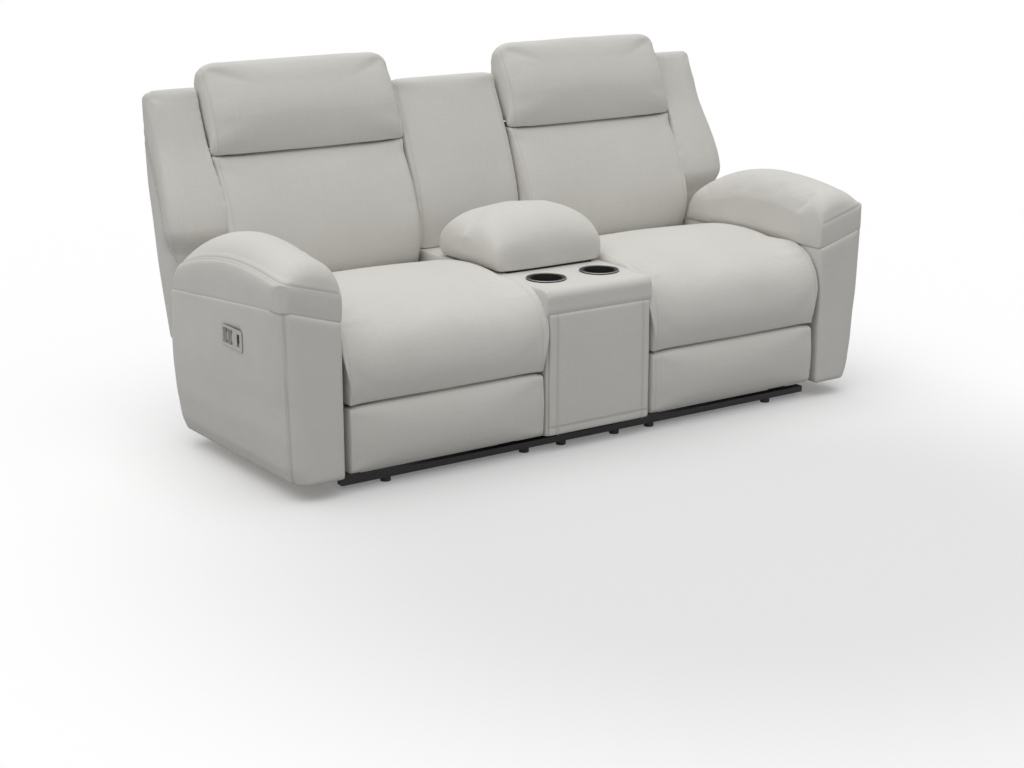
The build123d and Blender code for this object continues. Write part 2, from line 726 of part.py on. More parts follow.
def mechanism():
    """Plates with their posts, base rails, tubes, feet and the power supply."""
    p = footrest_linkage()
    plates = []
    for side in (-1, 1):
        middle = SEAT_X + side * PLATE_SPACING / 2
        x_from = middle - PLATE_THICKNESS / 2
        x_to = middle + PLATE_THICKNESS / 2
        control, main, _, _ = layers(side)
        beam = loop(
            (PLATE_FRONT, PLATE_BOTTOM),
            (PLATE_REAR - 60.0, PLATE_BOTTOM),
            plus(BACK_PIVOT, (14.0, -22.0)),
            plus(BACK_PIVOT, (14.0, 0.0)),
            plus(BACK_PIVOT, (0.0, 16.0)),
            plus(BACK_PIVOT, (-26.0, -4.0)),
            (SEAT_REAR, SEAT_BOARD_BOTTOM),
            (PLATE_FRONT, SEAT_BOARD_BOTTOM),
        )
        plate = prism(beam, x_from, x_to) - rod(p["tube"], TUBE_RADIUS + PIN_CLEARANCE, x_from, x_to)
        plate = plate + rivet(p["rear_top"], (x_from, x_to), main, side, PIN_RADIUS)
        pin_in = control[0] if side > 0 else control[1]
        plate = plate + rod(BACK_PIVOT, BACK_PIN_RADIUS, min(middle, pin_in), max(middle, pin_in))
        plates.append(plate)
        for depth in (POST_FRONT, POST_REAR):
            half = POST_WIDTH / 2
            post = box(x_from, x_to, depth - half, depth + half, FLOOR_TUBE_TOP, PLATE_BOTTOM)
            plates.append(post)
    save("mechanism_plates", *plates, *[other_side(s) for s in plates])

    front = FLOOR_TUBE_FRONT + FLOOR_TUBE_WIDTH
    rails = []
    for side in (-1, 1):
        middle = SEAT_X + side * PLATE_SPACING / 2
        near = middle - side * PLATE_THICKNESS / 2
        far = near + side * FLOOR_TUBE_WIDTH
        rails.append(box(min(near, far), max(near, far), front, FLOOR_TUBE_REAR, FOOT_HEIGHT, FLOOR_TUBE_TOP))

    x_to = SEAT_OUT_X - 10.0
    tubes = []
    for depth in (FLOOR_TUBE_FRONT, FLOOR_TUBE_REAR):
        tubes.append(box(-x_to, x_to, depth, depth + FLOOR_TUBE_WIDTH, FOOT_HEIGHT, FLOOR_TUBE_TOP))
    inside = PLATE_SPACING / 2 - PLATE_THICKNESS / 2
    depth = FLOOR_TUBE_REAR - 40.0
    low = STRETCHER_HEIGHT - STRETCHER / 2
    stretcher = box(SEAT_X - inside, SEAT_X + inside, depth, depth + STRETCHER, low, low + STRETCHER)
    frame = rails + [stretcher]
    save("base_rails", *tubes, *frame, *[other_side(f) for f in frame])

    feet = []
    for depth in (FLOOR_TUBE_FRONT, FLOOR_TUBE_REAR):
        y = at(depth + FLOOR_TUBE_WIDTH / 2, 0)[0]
        for x in (SEAT_IN_X + FOOT_INSET, FOOT_OUTER_X):
            feet.append(Pos(x, y, FOOT_HEIGHT / 2) * Cylinder(FOOT_RADIUS, FOOT_HEIGHT))
        feet.append(Pos(CONSOLE_FOOT_X, y, FOOT_HEIGHT / 2) * Cylinder(FOOT_RADIUS, FOOT_HEIGHT))
        riser = (FLOOR_TUBE_TOP + UPHOLSTERY_BOTTOM) / 2
        feet.append(Pos(CONSOLE_FOOT_X, y, riser) * Box(26.0, 22.0, UPHOLSTERY_BOTTOM - FLOOR_TUBE_TOP))
    save("glide_feet", *feet, *[other_side(f) for f in feet])

    depth = FLOOR_TUBE_REAR + FLOOR_TUBE_WIDTH / 2 - SUPPLY_WIDTH / 2
    low = FLOOR_TUBE_TOP
    supply = box(
        -SEAT_X - SUPPLY_LENGTH / 2,
        -SEAT_X + SUPPLY_LENGTH / 2,
        depth,
        depth + SUPPLY_WIDTH,
        low,
        low + SUPPLY_HEIGHT,
    )
    inlet = box(
        -SEAT_X - INLET_WIDTH / 2,
        -SEAT_X + INLET_WIDTH / 2,
        depth + SUPPLY_WIDTH - INLET_DEPTH,
        depth + SUPPLY_WIDTH,
        low + INLET_RISE,
        low + INLET_RISE + INLET_HEIGHT,
    )
    save("power_supply", supply - inlet)
    back_actuators()


def back_actuators():
    """Motors fixed to the inner mechanism plates, and rods that pull the backs' levers."""
    pin = back_points()
    side = -1
    x = layers(side)[0][1] + ROD_RADIUS + 22.0
    height = pin[1]
    plate_face = SEAT_X - PLATE_SPACING / 2 + PLATE_THICKNESS / 2
    tube_front = pin[0] - 250.0
    tube_rear = pin[0] - 95.0
    motor = bar(tube_front, tube_rear, height, x, BACK_TUBE_RADIUS)
    motor = motor + box(plate_face, x + 26.0, tube_front, tube_front + 50.0, height - 30.0, height + 26.0)
    bore = bar(tube_front + 60.0, tube_rear + 1.0, height, x, ROD_RADIUS + CLEARANCE)
    motor = motor - bore
    save("back_motors", motor, other_side(motor))

    gap = BACK_LEVER_PIN + BACK_YOKE_CLEARANCE
    ram = bar(tube_front + 120.0, pin[0] - 22.0, height, x, ROD_RADIUS)
    lever = lever_span()
    yoke = box(lever[1] + 1.0, x + ROD_RADIUS, pin[0] - 26.0, pin[0] - 16.0, height - 14.0, height + 14.0)
    fork = box(lever[1] + 1.0, lever[1] + 9.0, pin[0] - 26.0, pin[0] + 14.0, height - 14.0, height + 14.0)
    slot = box(lever[1], lever[1] + 10.0, pin[0] - gap, pin[0] + gap, height - 10.0, height + 10.0)
    save_pair("back_rod", ram + yoke + (fork - slot))


def lever_span():
    """X span of the back bracket next to the inner mechanism plate."""
    return layers(-1)[0]


def frame_plane():
    """A plane on the rear face of the back frame, its own Y up the lean and Z to the front."""
    lean = math.radians(BACK_LEAN)
    return Plane(
        origin=(0, BACK_FRAME_REAR - FRONT_TO_ORIGIN, BACK_FRAME_BOTTOM),
        x_dir=(1, 0, 0),
        z_dir=(0, -math.cos(lean), math.sin(lean)),
    )


def frame_depth(height, forward):
    """Depth of the back frame's plane at a height, a distance forward of its rear face."""
    lean = math.radians(BACK_LEAN)
    return BACK_FRAME_REAR + (height - BACK_FRAME_BOTTOM) * math.tan(lean) - forward / math.cos(lean)


def leaning_board(x_from, x_to, z_from, z_to):
    """A board of the back frame between two heights measured along its lean."""
    lean = math.cos(math.radians(BACK_LEAN))
    low = (z_from - BACK_FRAME_BOTTOM) / lean
    high = (z_to - BACK_FRAME_BOTTOM) / lean
    spot = Pos((x_from + x_to) / 2, (low + high) / 2, BACK_FRAME_THICKNESS / 2)
    return frame_plane() * spot * Box(x_to - x_from, high - low, BACK_FRAME_THICKNESS)


def back_profile(share):
    """Side view of the back pad: full at the lumbar, falling back towards the headrest."""
    back = 10.0 * share
    low = BACK_PAD_BOTTOM
    top = BACK_PAD_TOP
    return loop(
        (frame_depth(low, BACK_FRAME_THICKNESS), low),
        behind(7.0 + back, low),
        (behind(-23.0 + back, low + 100.0), behind(-6.0 + back, low + 222.0)),
        (behind(24.0 + back, low + 306.0), behind(62.0 + back, top - 22.0)),
        (behind(71.0 + back, top - 6.0), behind(87.0 + back, top)),
        (frame_depth(top, BACK_FRAME_THICKNESS), top),
    )


def wing_profile(share):
    """Side view of the wing pad, with its lower front cut back to swing clear of the arm."""
    back = 22.0 * share
    top = WING_TOP - 14.0 * share
    low = COVER_BOTTOM
    roof = top - 28.0
    brow = (frame_depth(roof, 30.0 - 8.0 * share), roof)
    cheek = behind(86.0 + back * 0.6, WING_TOP - 152.0)
    middle = ((cheek[0] + brow[0]) / 2 + 3.0, (cheek[1] + brow[1]) / 2)
    return loop(
        (frame_depth(low, 0.0), low),
        behind(77.0, low),
        behind(21.0, low + 80.0),
        (behind(5.0 + back, low + 198.0), behind(8.0 + back, low + 313.0)),
        (behind(36.0 + back * 0.8, low + 428.0), cheek),
        (middle, brow),
        ((frame_depth(top - 8.0, 22.0 - 6.0 * share), top - 8.0), (frame_depth(top, 0.0), top)),
    )


def cover_face(top, bulge, brow):
    """Side view of the padded outer back between the frame and a rear face bowed through two points."""
    low = COVER_BOTTOM
    return loop(
        (frame_depth(low, 0.0), low),
        behind(112.0, low),
        (bulge, brow),
        (frame_depth(top, -4.0), top),
        (frame_depth(top, 0.0), top),
    )


def backs():
    """Back frames, pads, wings and covers."""
    width = BACK_BOARD_WIDTH
    low = BACK_FRAME_BOTTOM
    pad_top = HEADREST_BOTTOM - 8.0
    inner = BACK_IN_X + 4.0
    split = WING_IN_X
    wing_board = leaning_board(
        split,
        WING_OUT_X - WING_BOARD_INSET,
        COVER_BOTTOM + 4.0,
        WING_TOP - WING_BOARD_DROP,
    )
    boards = [
        leaning_board(inner, inner + width, low, pad_top),
        leaning_board(split - width, split, low, pad_top),
        wing_board,
        leaning_board(inner + width, split - width, low, low + width),
        leaning_board(inner + width, split - width, BACK_MIDDLE_RAIL, BACK_MIDDLE_RAIL + width),
        leaning_board(inner + width, split - width, pad_top - width, pad_top),
    ]
    pin = back_points()
    hole = BACK_PIN_RADIUS + PIN_CLEARANCE
    for side in (-1, 1):
        span = layers(side)[0]
        reach = frame_depth(low + width, BACK_FRAME_THICKNESS)
        plate = loop(
            plus(BACK_PIVOT, (-16.0, 0.0)),
            plus(BACK_PIVOT, (0.0, -18.0)),
            (frame_depth(low + 2.0, BACK_FRAME_THICKNESS), low + 2.0),
            (reach, low + width),
            plus(BACK_PIVOT, (0.0, 18.0)),
        )
        bracket = prism(plate, *span)
        if side < 0:
            bracket = bracket + strip(BACK_PIVOT, pin, LINK_HALF_WIDTH, *span)
            bracket = bracket + rod(pin, BACK_LEVER_PIN, span[0], span[1] + 10.0)
        boards.append(bracket - rod(BACK_PIVOT, hole, *span))
    arm_rear = frame_depth(HEADREST_PIVOT[1], BACK_FRAME_THICKNESS)
    for side in (-1, 1):
        x = SEAT_X + side * HEADREST_HINGE_X
        pivot_depth, pivot_height = HEADREST_PIVOT
        arm = box(x - 14.0, x + 14.0, pivot_depth, arm_rear, pivot_height - 5.0, pivot_height + 5.0)
        arm = arm + rod(HEADREST_PIVOT, HEADREST_KNUCKLE, x - 14.0, x + 14.0)
        boards.append(arm + rod(HEADREST_PIVOT, HEADREST_PIN, x - 30.0, x + 30.0))
    save_pair("back_frame", *boards)

    stations = roll_stations(BACK_IN_X, BACK_OUT_X, 45.0, 0.12)
    save_pair("back_pad", crowned(back_profile, stations))
    stations = [
        (WING_IN_X, 0.2),
        (WING_IN_X + WING_WIDTH * 0.12, 0.05),
        (WING_IN_X + WING_WIDTH * 0.35, 0.0),
        (WING_IN_X + WING_WIDTH * 0.75, 0.1),
        (WING_IN_X + WING_WIDTH * 0.9, 0.35),
        (WING_IN_X + WING_WIDTH * 0.97, 0.65),
        (WING_OUT_X, 1.1),
    ]
    save_pair("wing_pad", crowned(wing_profile, stations) - wing_board)
    low_top = pad_top - 4.0
    low_face = cover_face(low_top, behind(155.0, COVER_BOTTOM + 248.0), behind(182.0, low_top - 19.0))
    inner_cover = prism(low_face, BACK_IN_X, WING_IN_X)
    high_top = WING_TOP - 8.0
    high_face = cover_face(high_top, behind(168.0, COVER_BOTTOM + 328.0), behind(193.0, high_top - 19.0))
    wing_cover = prism(high_face, WING_IN_X, WING_OUT_X)
    save_pair("back_cover", inner_cover + wing_cover)


def headrest_profile(share):
    """Side view of the headrest pad, lower and thinner towards its ends."""
    back = 24.0 * share
    top = HEADREST_TOP - 44.0 * share
    low = HEADREST_BOTTOM
    tall = top - low
    return loop(
        behind(71.0 + back, low),
        (behind(58.0 + back, low + tall * 0.11), behind(65.0 + back, low + tall * 0.28)),
        (behind(93.0 + back, low + tall * 0.62), behind(134.0 + back * 0.8, top - 26.0)),
        (behind(164.0 + back * 0.3, top), behind(195.0 - back * 0.1, top - 24.0)),
        (behind(198.0 - back * 0.2, low + tall * 0.46), behind(187.0 - back * 0.2, low)),
    )


def headrests():
    """Headrest pads and the plates inside them, hinged at the seam below."""
    sheet = HEADREST_PLATE
    low = HEADREST_BOTTOM
    toe = HEADREST_PIVOT[0] - 4.0
    rise = low + HEADREST_PLATE_RISE
    plate_face = loop(
        (toe, low),
        behind(129.0 + sheet, low),
        behind(165.0 + sheet, rise),
        behind(165.0, rise),
        behind(129.0, low + sheet),
        (toe, low + sheet),
    )
    half = HEADREST_PLATE_HALF_WIDTH
    plate = prism(plate_face, SEAT_X - half, SEAT_X + half)
    stations = roll_stations(BACK_IN_X + 1.0, BACK_OUT_X - 1.0, 64.0, 0.05)
    pad = crowned(headrest_profile, stations) - plate
    save_pair("headrest_pad", pad)
    hole = HEADREST_PIN + PIN_CLEARANCE
    for side in (-1, 1):
        for offset in (-1, 1):
            x = SEAT_X + side * HEADREST_HINGE_X + offset * 22.5
            knuckle = rod(HEADREST_PIVOT, HEADREST_KNUCKLE, x - 7.0, x + 7.0)
            depth = HEADREST_PIVOT[0]
            web = box(x - 7.0, x + 7.0, depth - 4.0, depth + 4.0, HEADREST_PIVOT[1], low)
            plate = plate + knuckle + web - rod(HEADREST_PIVOT, hole, x - 8.0, x + 8.0)
    save_pair("headrest_plate", plate)


def console():
    """Console body, panel, bin, cup holders, lid, hinge and the fixed centre back."""
    half = CONSOLE_HALF
    wall = CONSOLE_WALL
    body = box(-half, half, CONSOLE_FRONT, CONSOLE_REAR, UPHOLSTERY_BOTTOM, CONSOLE_HEIGHT)
    front_top = body.edges().filter_by(Axis.X).group_by(Axis.Z)[-1].sort_by(Axis.Y)[0]
    body = fillet(front_top, CONSOLE_EDGE_RADIUS)
    body = body - box(
        -half + wall,
        half - wall,
        CONSOLE_FRONT + wall,
        CONSOLE_REAR - wall,
        UPHOLSTERY_BOTTOM + CONSOLE_FLOOR,
        CONSOLE_HEIGHT - wall,
    )
    body = body - box(
        -BIN_HALF_WIDTH - 1,
        BIN_HALF_WIDTH + 1,
        BIN_FRONT - 1,
        BIN_REAR + 1,
        CONSOLE_HEIGHT - 30,
        CONSOLE_HEIGHT,
    )
    y = at(CUP_DEPTH_BACK, 0)[0]
    for side in (-1, 1):
        body = body - Pos(side * CUP_X, y, CONSOLE_HEIGHT) * Cylinder(CUP_RADIUS + 0.5, 80.0)
    save("console_body", body)
    panel = box(
        -half + 8.0,
        half - 8.0,
        CONSOLE_FRONT - CONSOLE_PANEL_THICKNESS,
        CONSOLE_FRONT,
        UPHOLSTERY_BOTTOM + 4.0,
        CONSOLE_PANEL_TOP,
    )
    panel = fillet(panel.edges().group_by(Axis.Y)[0], 5.0)
    save("console_front_panel", panel)

    floor = CONSOLE_HEIGHT - BIN_DEPTH
    flange = BIN_FLANGE
    tub = box(-BIN_HALF_WIDTH, BIN_HALF_WIDTH, BIN_FRONT, BIN_REAR, floor, CONSOLE_HEIGHT)
    tub = tub + box(
        -BIN_HALF_WIDTH - flange,
        BIN_HALF_WIDTH + flange,
        BIN_FRONT - flange,
        BIN_REAR + flange,
        CONSOLE_HEIGHT,
        CONSOLE_HEIGHT + BIN_WALL,
    )
    tub = tub - box(
        -BIN_HALF_WIDTH + BIN_WALL,
        BIN_HALF_WIDTH - BIN_WALL,
        BIN_FRONT + BIN_WALL,
        BIN_REAR - BIN_WALL,
        floor + BIN_WALL,
        CONSOLE_HEIGHT + 2 * BIN_WALL,
    )
    save("storage_bin", tub)

    lip = 3.0
    cups = []
    for side in (-1, 1):
        cup = Pos(0, 0, -CUP_DEEP / 2) * Cylinder(CUP_RADIUS, CUP_DEEP)
        cup = cup + Pos(0, 0, lip / 2) * Cylinder(CUP_FLANGE_RADIUS, lip)
        inner = CUP_DEEP + lip
        cup = cup - Pos(0, 0, inner / 2 - CUP_DEEP + CUP_WALL) * Cylinder(CUP_RADIUS - CUP_WALL, inner)
        cups.append(Pos(side * CUP_X, y, CONSOLE_HEIGHT) * cup)
    save("cup_holders", *cups)
    lid()
    reach = CONSOLE_HALF + BACK_GAP - 1.0
    save("centre_back_pad", crowned(centre_profile, roll_stations(-reach, reach, 45.0, 0.1)))


def centre_profile(share):
    """Side view of the fixed centre back, which stands on the console and hangs behind it."""
    back = 14.0 * share
    top = CENTRE_BACK_TOP - 12.0 * share
    low = CENTRE_BACK_BOTTOM
    return loop(
        (CONSOLE_REAR, CONSOLE_HEIGHT),
        (CONSOLE_REAR, low),
        behind(114.0, low),
        (behind(168.0, low + 315.0), behind(193.0, top - 20.0)),
        (behind(179.0, top - 3.0), behind(157.0, top)),
        (behind(145.0, top - 6.0), behind(135.0 + back, top - 26.0)),
        (behind(82.0 + back, low + 515.0), behind(27.0 + back, low + 383.0)),
        (behind(4.0 + back, low + 305.0), (CENTRE_BACK_FRONT + back, CONSOLE_HEIGHT)),
    )


def lid_profile(share):
    """Side view of the lid pad, a pillow that is lower and shorter towards its sides."""
    tall = LID_TALL * (1 - LID_SIDE_DROP * share)
    front = LID_FRONT + LID_TAPER * share
    rear = LID_REAR - LID_TAPER * share
    low = LID_BOTTOM
    return loop(
        (front + 5.0, low),
        ((front, low + tall * 0.24), (front + 8.0, low + tall * 0.56)),
        ((front + 52.0, low + tall * 0.88), ((front + rear) / 2, low + tall)),
        ((rear - 56.0, low + tall * 0.88), (rear - 8.0, low + tall * 0.54)),
        ((rear, low + tall * 0.22), (rear - 5.0, low)),
    )


def lid():
    """Padded lid on a board, with a hinge of two leaves at its rear edge."""
    inset = LID_BOARD_INSET
    half = CONSOLE_HALF - inset
    board_top = LID_BOTTOM + LID_BOARD_THICKNESS
    board = box(-half, half, LID_FRONT + inset, LID_REAR - inset, LID_BOTTOM, board_top)
    leaf_low = LID_BOTTOM
    length = LID_HINGE_HALF_LENGTH
    front = LID_REAR - inset - 30.0
    moving = box(-length, length, front, LID_PIVOT[0], leaf_low, leaf_low + LID_LEAF)
    fixed = box(-length, length, LID_PIVOT[0], LID_PIVOT[0] + 30.0, CONSOLE_HEIGHT, CONSOLE_HEIGHT + LID_LEAF)
    edge = CONSOLE_HALF - 1.0
    pad = crowned(lid_profile, roll_stations(-edge, edge, LID_ROLL, 0.12)) - board
    slot = box(-length, length, front, LID_REAR + 20.0, leaf_low, leaf_low + LID_LEAF)
    board = board - slot
    pad = pad - slot
    step = 2 * length / LID_KNUCKLES
    room = LID_BARREL_RADIUS + CLEARANCE
    for number in range(LID_KNUCKLES):
        x_from = -length + step * number
        x_to = x_from + step
        barrel = rod(LID_PIVOT, LID_BARREL_RADIUS, x_from + CLEARANCE, x_to - CLEARANCE)
        if number % 2:
            neck = box(
                x_from + CLEARANCE,
                x_to - CLEARANCE,
                LID_PIVOT[0],
                LID_PIVOT[0] + LID_BARREL_RADIUS,
                CONSOLE_HEIGHT,
                LID_PIVOT[1],
            )
            moving = moving - rod(LID_PIVOT, room, x_from, x_to)
            fixed = fixed + barrel + neck
        else:
            fixed = fixed - rod(LID_PIVOT, room, x_from, x_to)
            moving = moving + barrel
    pin = rod(LID_PIVOT, LID_PIN_RADIUS, -length, length)
    moving = moving - rod(LID_PIVOT, LID_PIN_RADIUS + PIN_CLEARANCE, -length, length)
    save("lid_hinge_base", fixed + pin)
    save("lid_hinge_leaf", moving)
    save("lid_board", board)
    save("lid_pad", pad)


def main():
    """Builds every node."""
    os.makedirs("parts", exist_ok=True)
    arms()
    seats()
    footrests()
    mechanism()
    backs()
    headrests()
    console()


if __name__ == "__main__":
    main()
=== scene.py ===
"""Power reclining loveseat: cushions, covers, stitching, finishes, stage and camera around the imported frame.

Metres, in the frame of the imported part: X across the seats, Y from front to back, Z up from the floor.
"""
import math

import bmesh
import bpy
import numpy as np
from mathutils import Matrix, Vector, noise


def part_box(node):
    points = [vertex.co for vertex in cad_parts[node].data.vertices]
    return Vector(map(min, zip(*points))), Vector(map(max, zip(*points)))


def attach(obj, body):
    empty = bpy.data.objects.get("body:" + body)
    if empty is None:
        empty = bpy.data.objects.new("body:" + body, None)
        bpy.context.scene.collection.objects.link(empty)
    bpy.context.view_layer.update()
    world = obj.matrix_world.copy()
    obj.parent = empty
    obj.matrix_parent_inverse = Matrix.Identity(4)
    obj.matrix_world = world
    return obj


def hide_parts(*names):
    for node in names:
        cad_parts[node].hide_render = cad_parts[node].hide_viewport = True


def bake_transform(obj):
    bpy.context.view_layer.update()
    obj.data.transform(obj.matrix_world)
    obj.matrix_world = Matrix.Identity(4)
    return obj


bl_info = {
    "name": "Power reclining loveseat",
    "version": (1, 0, 0),
    "blender": (4, 5, 0),
    "location": "View3D > Sidebar > Loveseat",
    "description": "Dresses the packed loveseat with cushions, covers, stitching and finishes",
    "category": "Object",
}

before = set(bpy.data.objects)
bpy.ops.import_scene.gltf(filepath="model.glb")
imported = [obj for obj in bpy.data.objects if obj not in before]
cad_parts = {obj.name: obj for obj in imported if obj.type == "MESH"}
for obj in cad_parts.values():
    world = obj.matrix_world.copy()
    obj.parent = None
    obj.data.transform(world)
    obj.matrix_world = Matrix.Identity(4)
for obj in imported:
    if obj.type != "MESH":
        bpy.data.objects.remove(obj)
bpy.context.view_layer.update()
MM = 0.001
SIDES = (("left", -1), ("right", 1))
COVER = "woven_polyester_upholstery"
THREAD = "polyester_sewing_thread"

# Camera of the photograph
CAMERA_PLACE = (-3.012, -4.4735, 1.608)
CAMERA_AIM = (0.5359, 0.7986, -0.2740)
CAMERA_LENS_MM = 66.9
SENSOR_MM = 36.0

# Light of the studio, and what the camera sees of its sky
SUN_STRENGTH = 1.6
SUN_SPREAD = math.radians(80)
SUN_TILT = (math.radians(2), math.radians(-12), 0)
SKY_LIGHT = 0.5
SKY_SEEN = 1.0

# Studio floor, with a painted shadow: a soft grey patch on the floor in front of the seats
FLOOR_REACH = 40.0
FLOOR_GLOW = 0.2
FLOOR_BOUNCE = 0.35
PAINTED_SHADOW_CENTRE = (-0.15, -1.15, 0.0)
PAINTED_SHADOW_INNER = 0.6
PAINTED_SHADOW_OUTER = 1.8

# Cloth of the cover: its weave and slubs, the spread of its tones, and how dark the painted shade in a tuck is
WEAVE_MM = 3.2
SLUB_LENGTH_MM = 70
SLUB_WIDTH_MM = 3.4
PATCH_MM = 260
MOTTLE_LOW = 1.05
MOTTLE_HIGH = 1.95
TUCK_PAINTED_SHADE = 0.42
GLOSS_SPREAD = 0.08

# Sewing, with seams as distances from a piece's own edges
EDGE_SEAM = 15 * MM
COVER_SEAM = 22 * MM
PANEL_BORDER = 24 * MM
STITCH_BESIDE_SEAM = 6 * MM
STITCH_LIFT = 0.3 * MM
SOFT_SEAM = 0.15

# How far cushions may stand out of their solids: across, along and up
PAD_ROOM = (2 * MM, 6 * MM, 6 * MM)
WIDE_PAD_ROOM = (3 * MM, 6 * MM, 6 * MM)

# Shift of the filling's unevenness from one cushion to the next
NOISE_SHIFT = (17.0, 5.0, 11.0)

# Seats and footrests: held edges, lip, filled front corners, shoulders, and the slit beside the arm
SEAT_HELD_REAR = 12 * MM
SEAT_LIP_SAG = 7 * MM
SEAT_LIP_RISE = 30 * MM
SEAT_CORNER = (90 * MM, 22 * MM)
SEAT_SHOULDER = 110 * MM
SEAT_SHOULDER_START = 225 * MM
SEAT_SHOULDER_BLEND = 120 * MM
SEAT_SHOULDER_REAR = 0.2
SEAT_SHOULDER_GAIN = 0.6
FOOTREST_HELD_REAR = 6 * MM
FOOTREST_CORNER = (40 * MM, 20 * MM)
CORNER_START = 70 * MM
CORNER_BLEND = 40 * MM
ARM_SLIT = 11 * MM
ARM_SLIT_REACH = 60 * MM

# Backs, whose lean is a depth for each height
BACK_SLOPE = math.tan(math.radians(5.5))
BACK_HELD_FOOT = 10 * MM
BACK_FRONT_START = 10 * MM
BACK_FRONT_BLEND = 60 * MM
BACK_SQUARE = 45 * MM
SQUARE_SHARE = 0.9
LUMBAR = 16 * MM
LUMBAR_SPREAD = 10 * MM
LUMBAR_SKEW = 0.7

# Headrests, whose lower edges lap the back cushions, and a height for a bend where they meet them, which is
# passed on but not made
HEADREST_FRONT_START = 20 * MM
HEADREST_FRONT_BLEND = 40 * MM
HEADREST_LAP = 9 * MM
HEADREST_LAP_RISE = 90 * MM
HEADREST_CORNER = 64 * MM
HEADREST_CORNER_FILL = 22 * MM
HEADREST_CORNER_OUT = 12 * MM
HEADREST_SQUARE = 45 * MM
HEADREST_ROUND = 60 * MM
HEADREST_FULL = 9 * MM
HEADREST_TUCK = 6 * MM
HEADREST_BEND = 60 * MM

# Wings, and the sewn line that slants down each outer side
WING_HELD_INNER = 6 * MM
WING_FRONT_START = 20 * MM
WING_FRONT_BLEND = 60 * MM
WING_TAPER = 16 * MM
WING_TAPER_RISE = 430 * MM
WING_TAPER_DEPTH = 110 * MM
WING_CHEEK = 24 * MM
WING_CHEEK_OUT = 16 * MM
WING_CHEEK_TOP = 810 * MM
WING_CHEEK_FULL = 595 * MM
WING_CHEEK_FOOT = 520 * MM
WING_LAP = 10 * MM
WING_LAP_REACH = 60 * MM
WING_LAP_START = 20 * MM
WING_LAP_BLEND = 80 * MM
WING_RISE = 6 * MM
WING_RISE_REACH = 120 * MM
WING_WRAP = 46 * MM
WING_WRAP_BLEND = 30 * MM
WING_WRAP_DEPTH = 34 * MM
WING_SEAM_REAR = (382 * MM, 800 * MM)
WING_SEAM_FRONT = (222 * MM, 480 * MM)
WING_SEAM_APART = 14 * MM

# Outer backs, tucked in behind the wings' edges
OUTER_BACK_BULGE = 3 * MM
OUTER_BACK_EDGE = 1 * MM
OUTER_BACK_TUCK = 15 * MM
OUTER_BACK_TUCK_REACH = 60 * MM
OUTER_BACK_TUCK_SIDE = 150 * MM

# Joint between each arm's pad and its panel, as heights above or below the panel's flat top
JOINT_FRONT_OUTER = 40 * MM
JOINT_FRONT_INNER = -15 * MM
JOINT_REAR_OUTER = -24 * MM
JOINT_REAR_INNER = -20 * MM
JOINT_FADE = 170 * MM

# Arm pads: their sewn line, and the boxed front and side below it
ARM_SEAM_OUTER = 580 * MM
ARM_SEAM_FALL = 52 * MM
ARM_SEAM_SLOPE = 0.1
ARM_SEAM_ARCH = 40 * MM
ARM_BOX_REACH = 60 * MM
ARM_BOX_BLEND = 24 * MM
ARM_CORNER = 45 * MM
ARM_PAD_SETTLE = 3 * MM
ARM_PAD_FOOT = 25 * MM

# Arm panels: crown, foot, sewn corners from the outer side and from the front or rear, and the switch pocket
ARM_BULGE = 2 * MM
ARM_FOOT_START = 20 * MM
ARM_FOOT_BLEND = 200 * MM
ARM_FOOT_FRONT = 11 * MM
ARM_FOOT_REAR = 9 * MM
ARM_FRONT_SEAM = (62 * MM, 52 * MM)
ARM_REAR_SEAM = (38 * MM, 28 * MM)
POCKET_DEPTH = 8 * MM
POCKET_MARGIN = 4 * MM

# Console: lid, rolled brow above the front panel, deck, front panel and the rims of its cups
LID_BULGE = 12 * MM
CONSOLE_FLUSH = 7 * MM
CONSOLE_ROLL = 24 * MM
BROW_BLEND = 8 * MM
BROW_START = 60 * MM
BROW_DEPTH_BLEND = 40 * MM
DECK_DEPTH = 30 * MM
PANEL_SPACING = 3 * MM
PANEL_BULGE = 2.5 * MM
RIM_TUBE = 1.5 * MM
RIM_SIDES = 12
RIM_STEPS = 72

# Stitch lines found on the finished pieces, by the body that they ride on
stitch_lines = {}


def linear(code):
    """Linear red, green, blue of an sRGB hex value."""
    parts = [int(code[i:i + 2], 16) / 255 for i in (1, 3, 5)]
    return tuple(c / 12.92 if c <= 0.04045 else ((c + 0.055) / 1.055) ** 2.4 for c in parts)


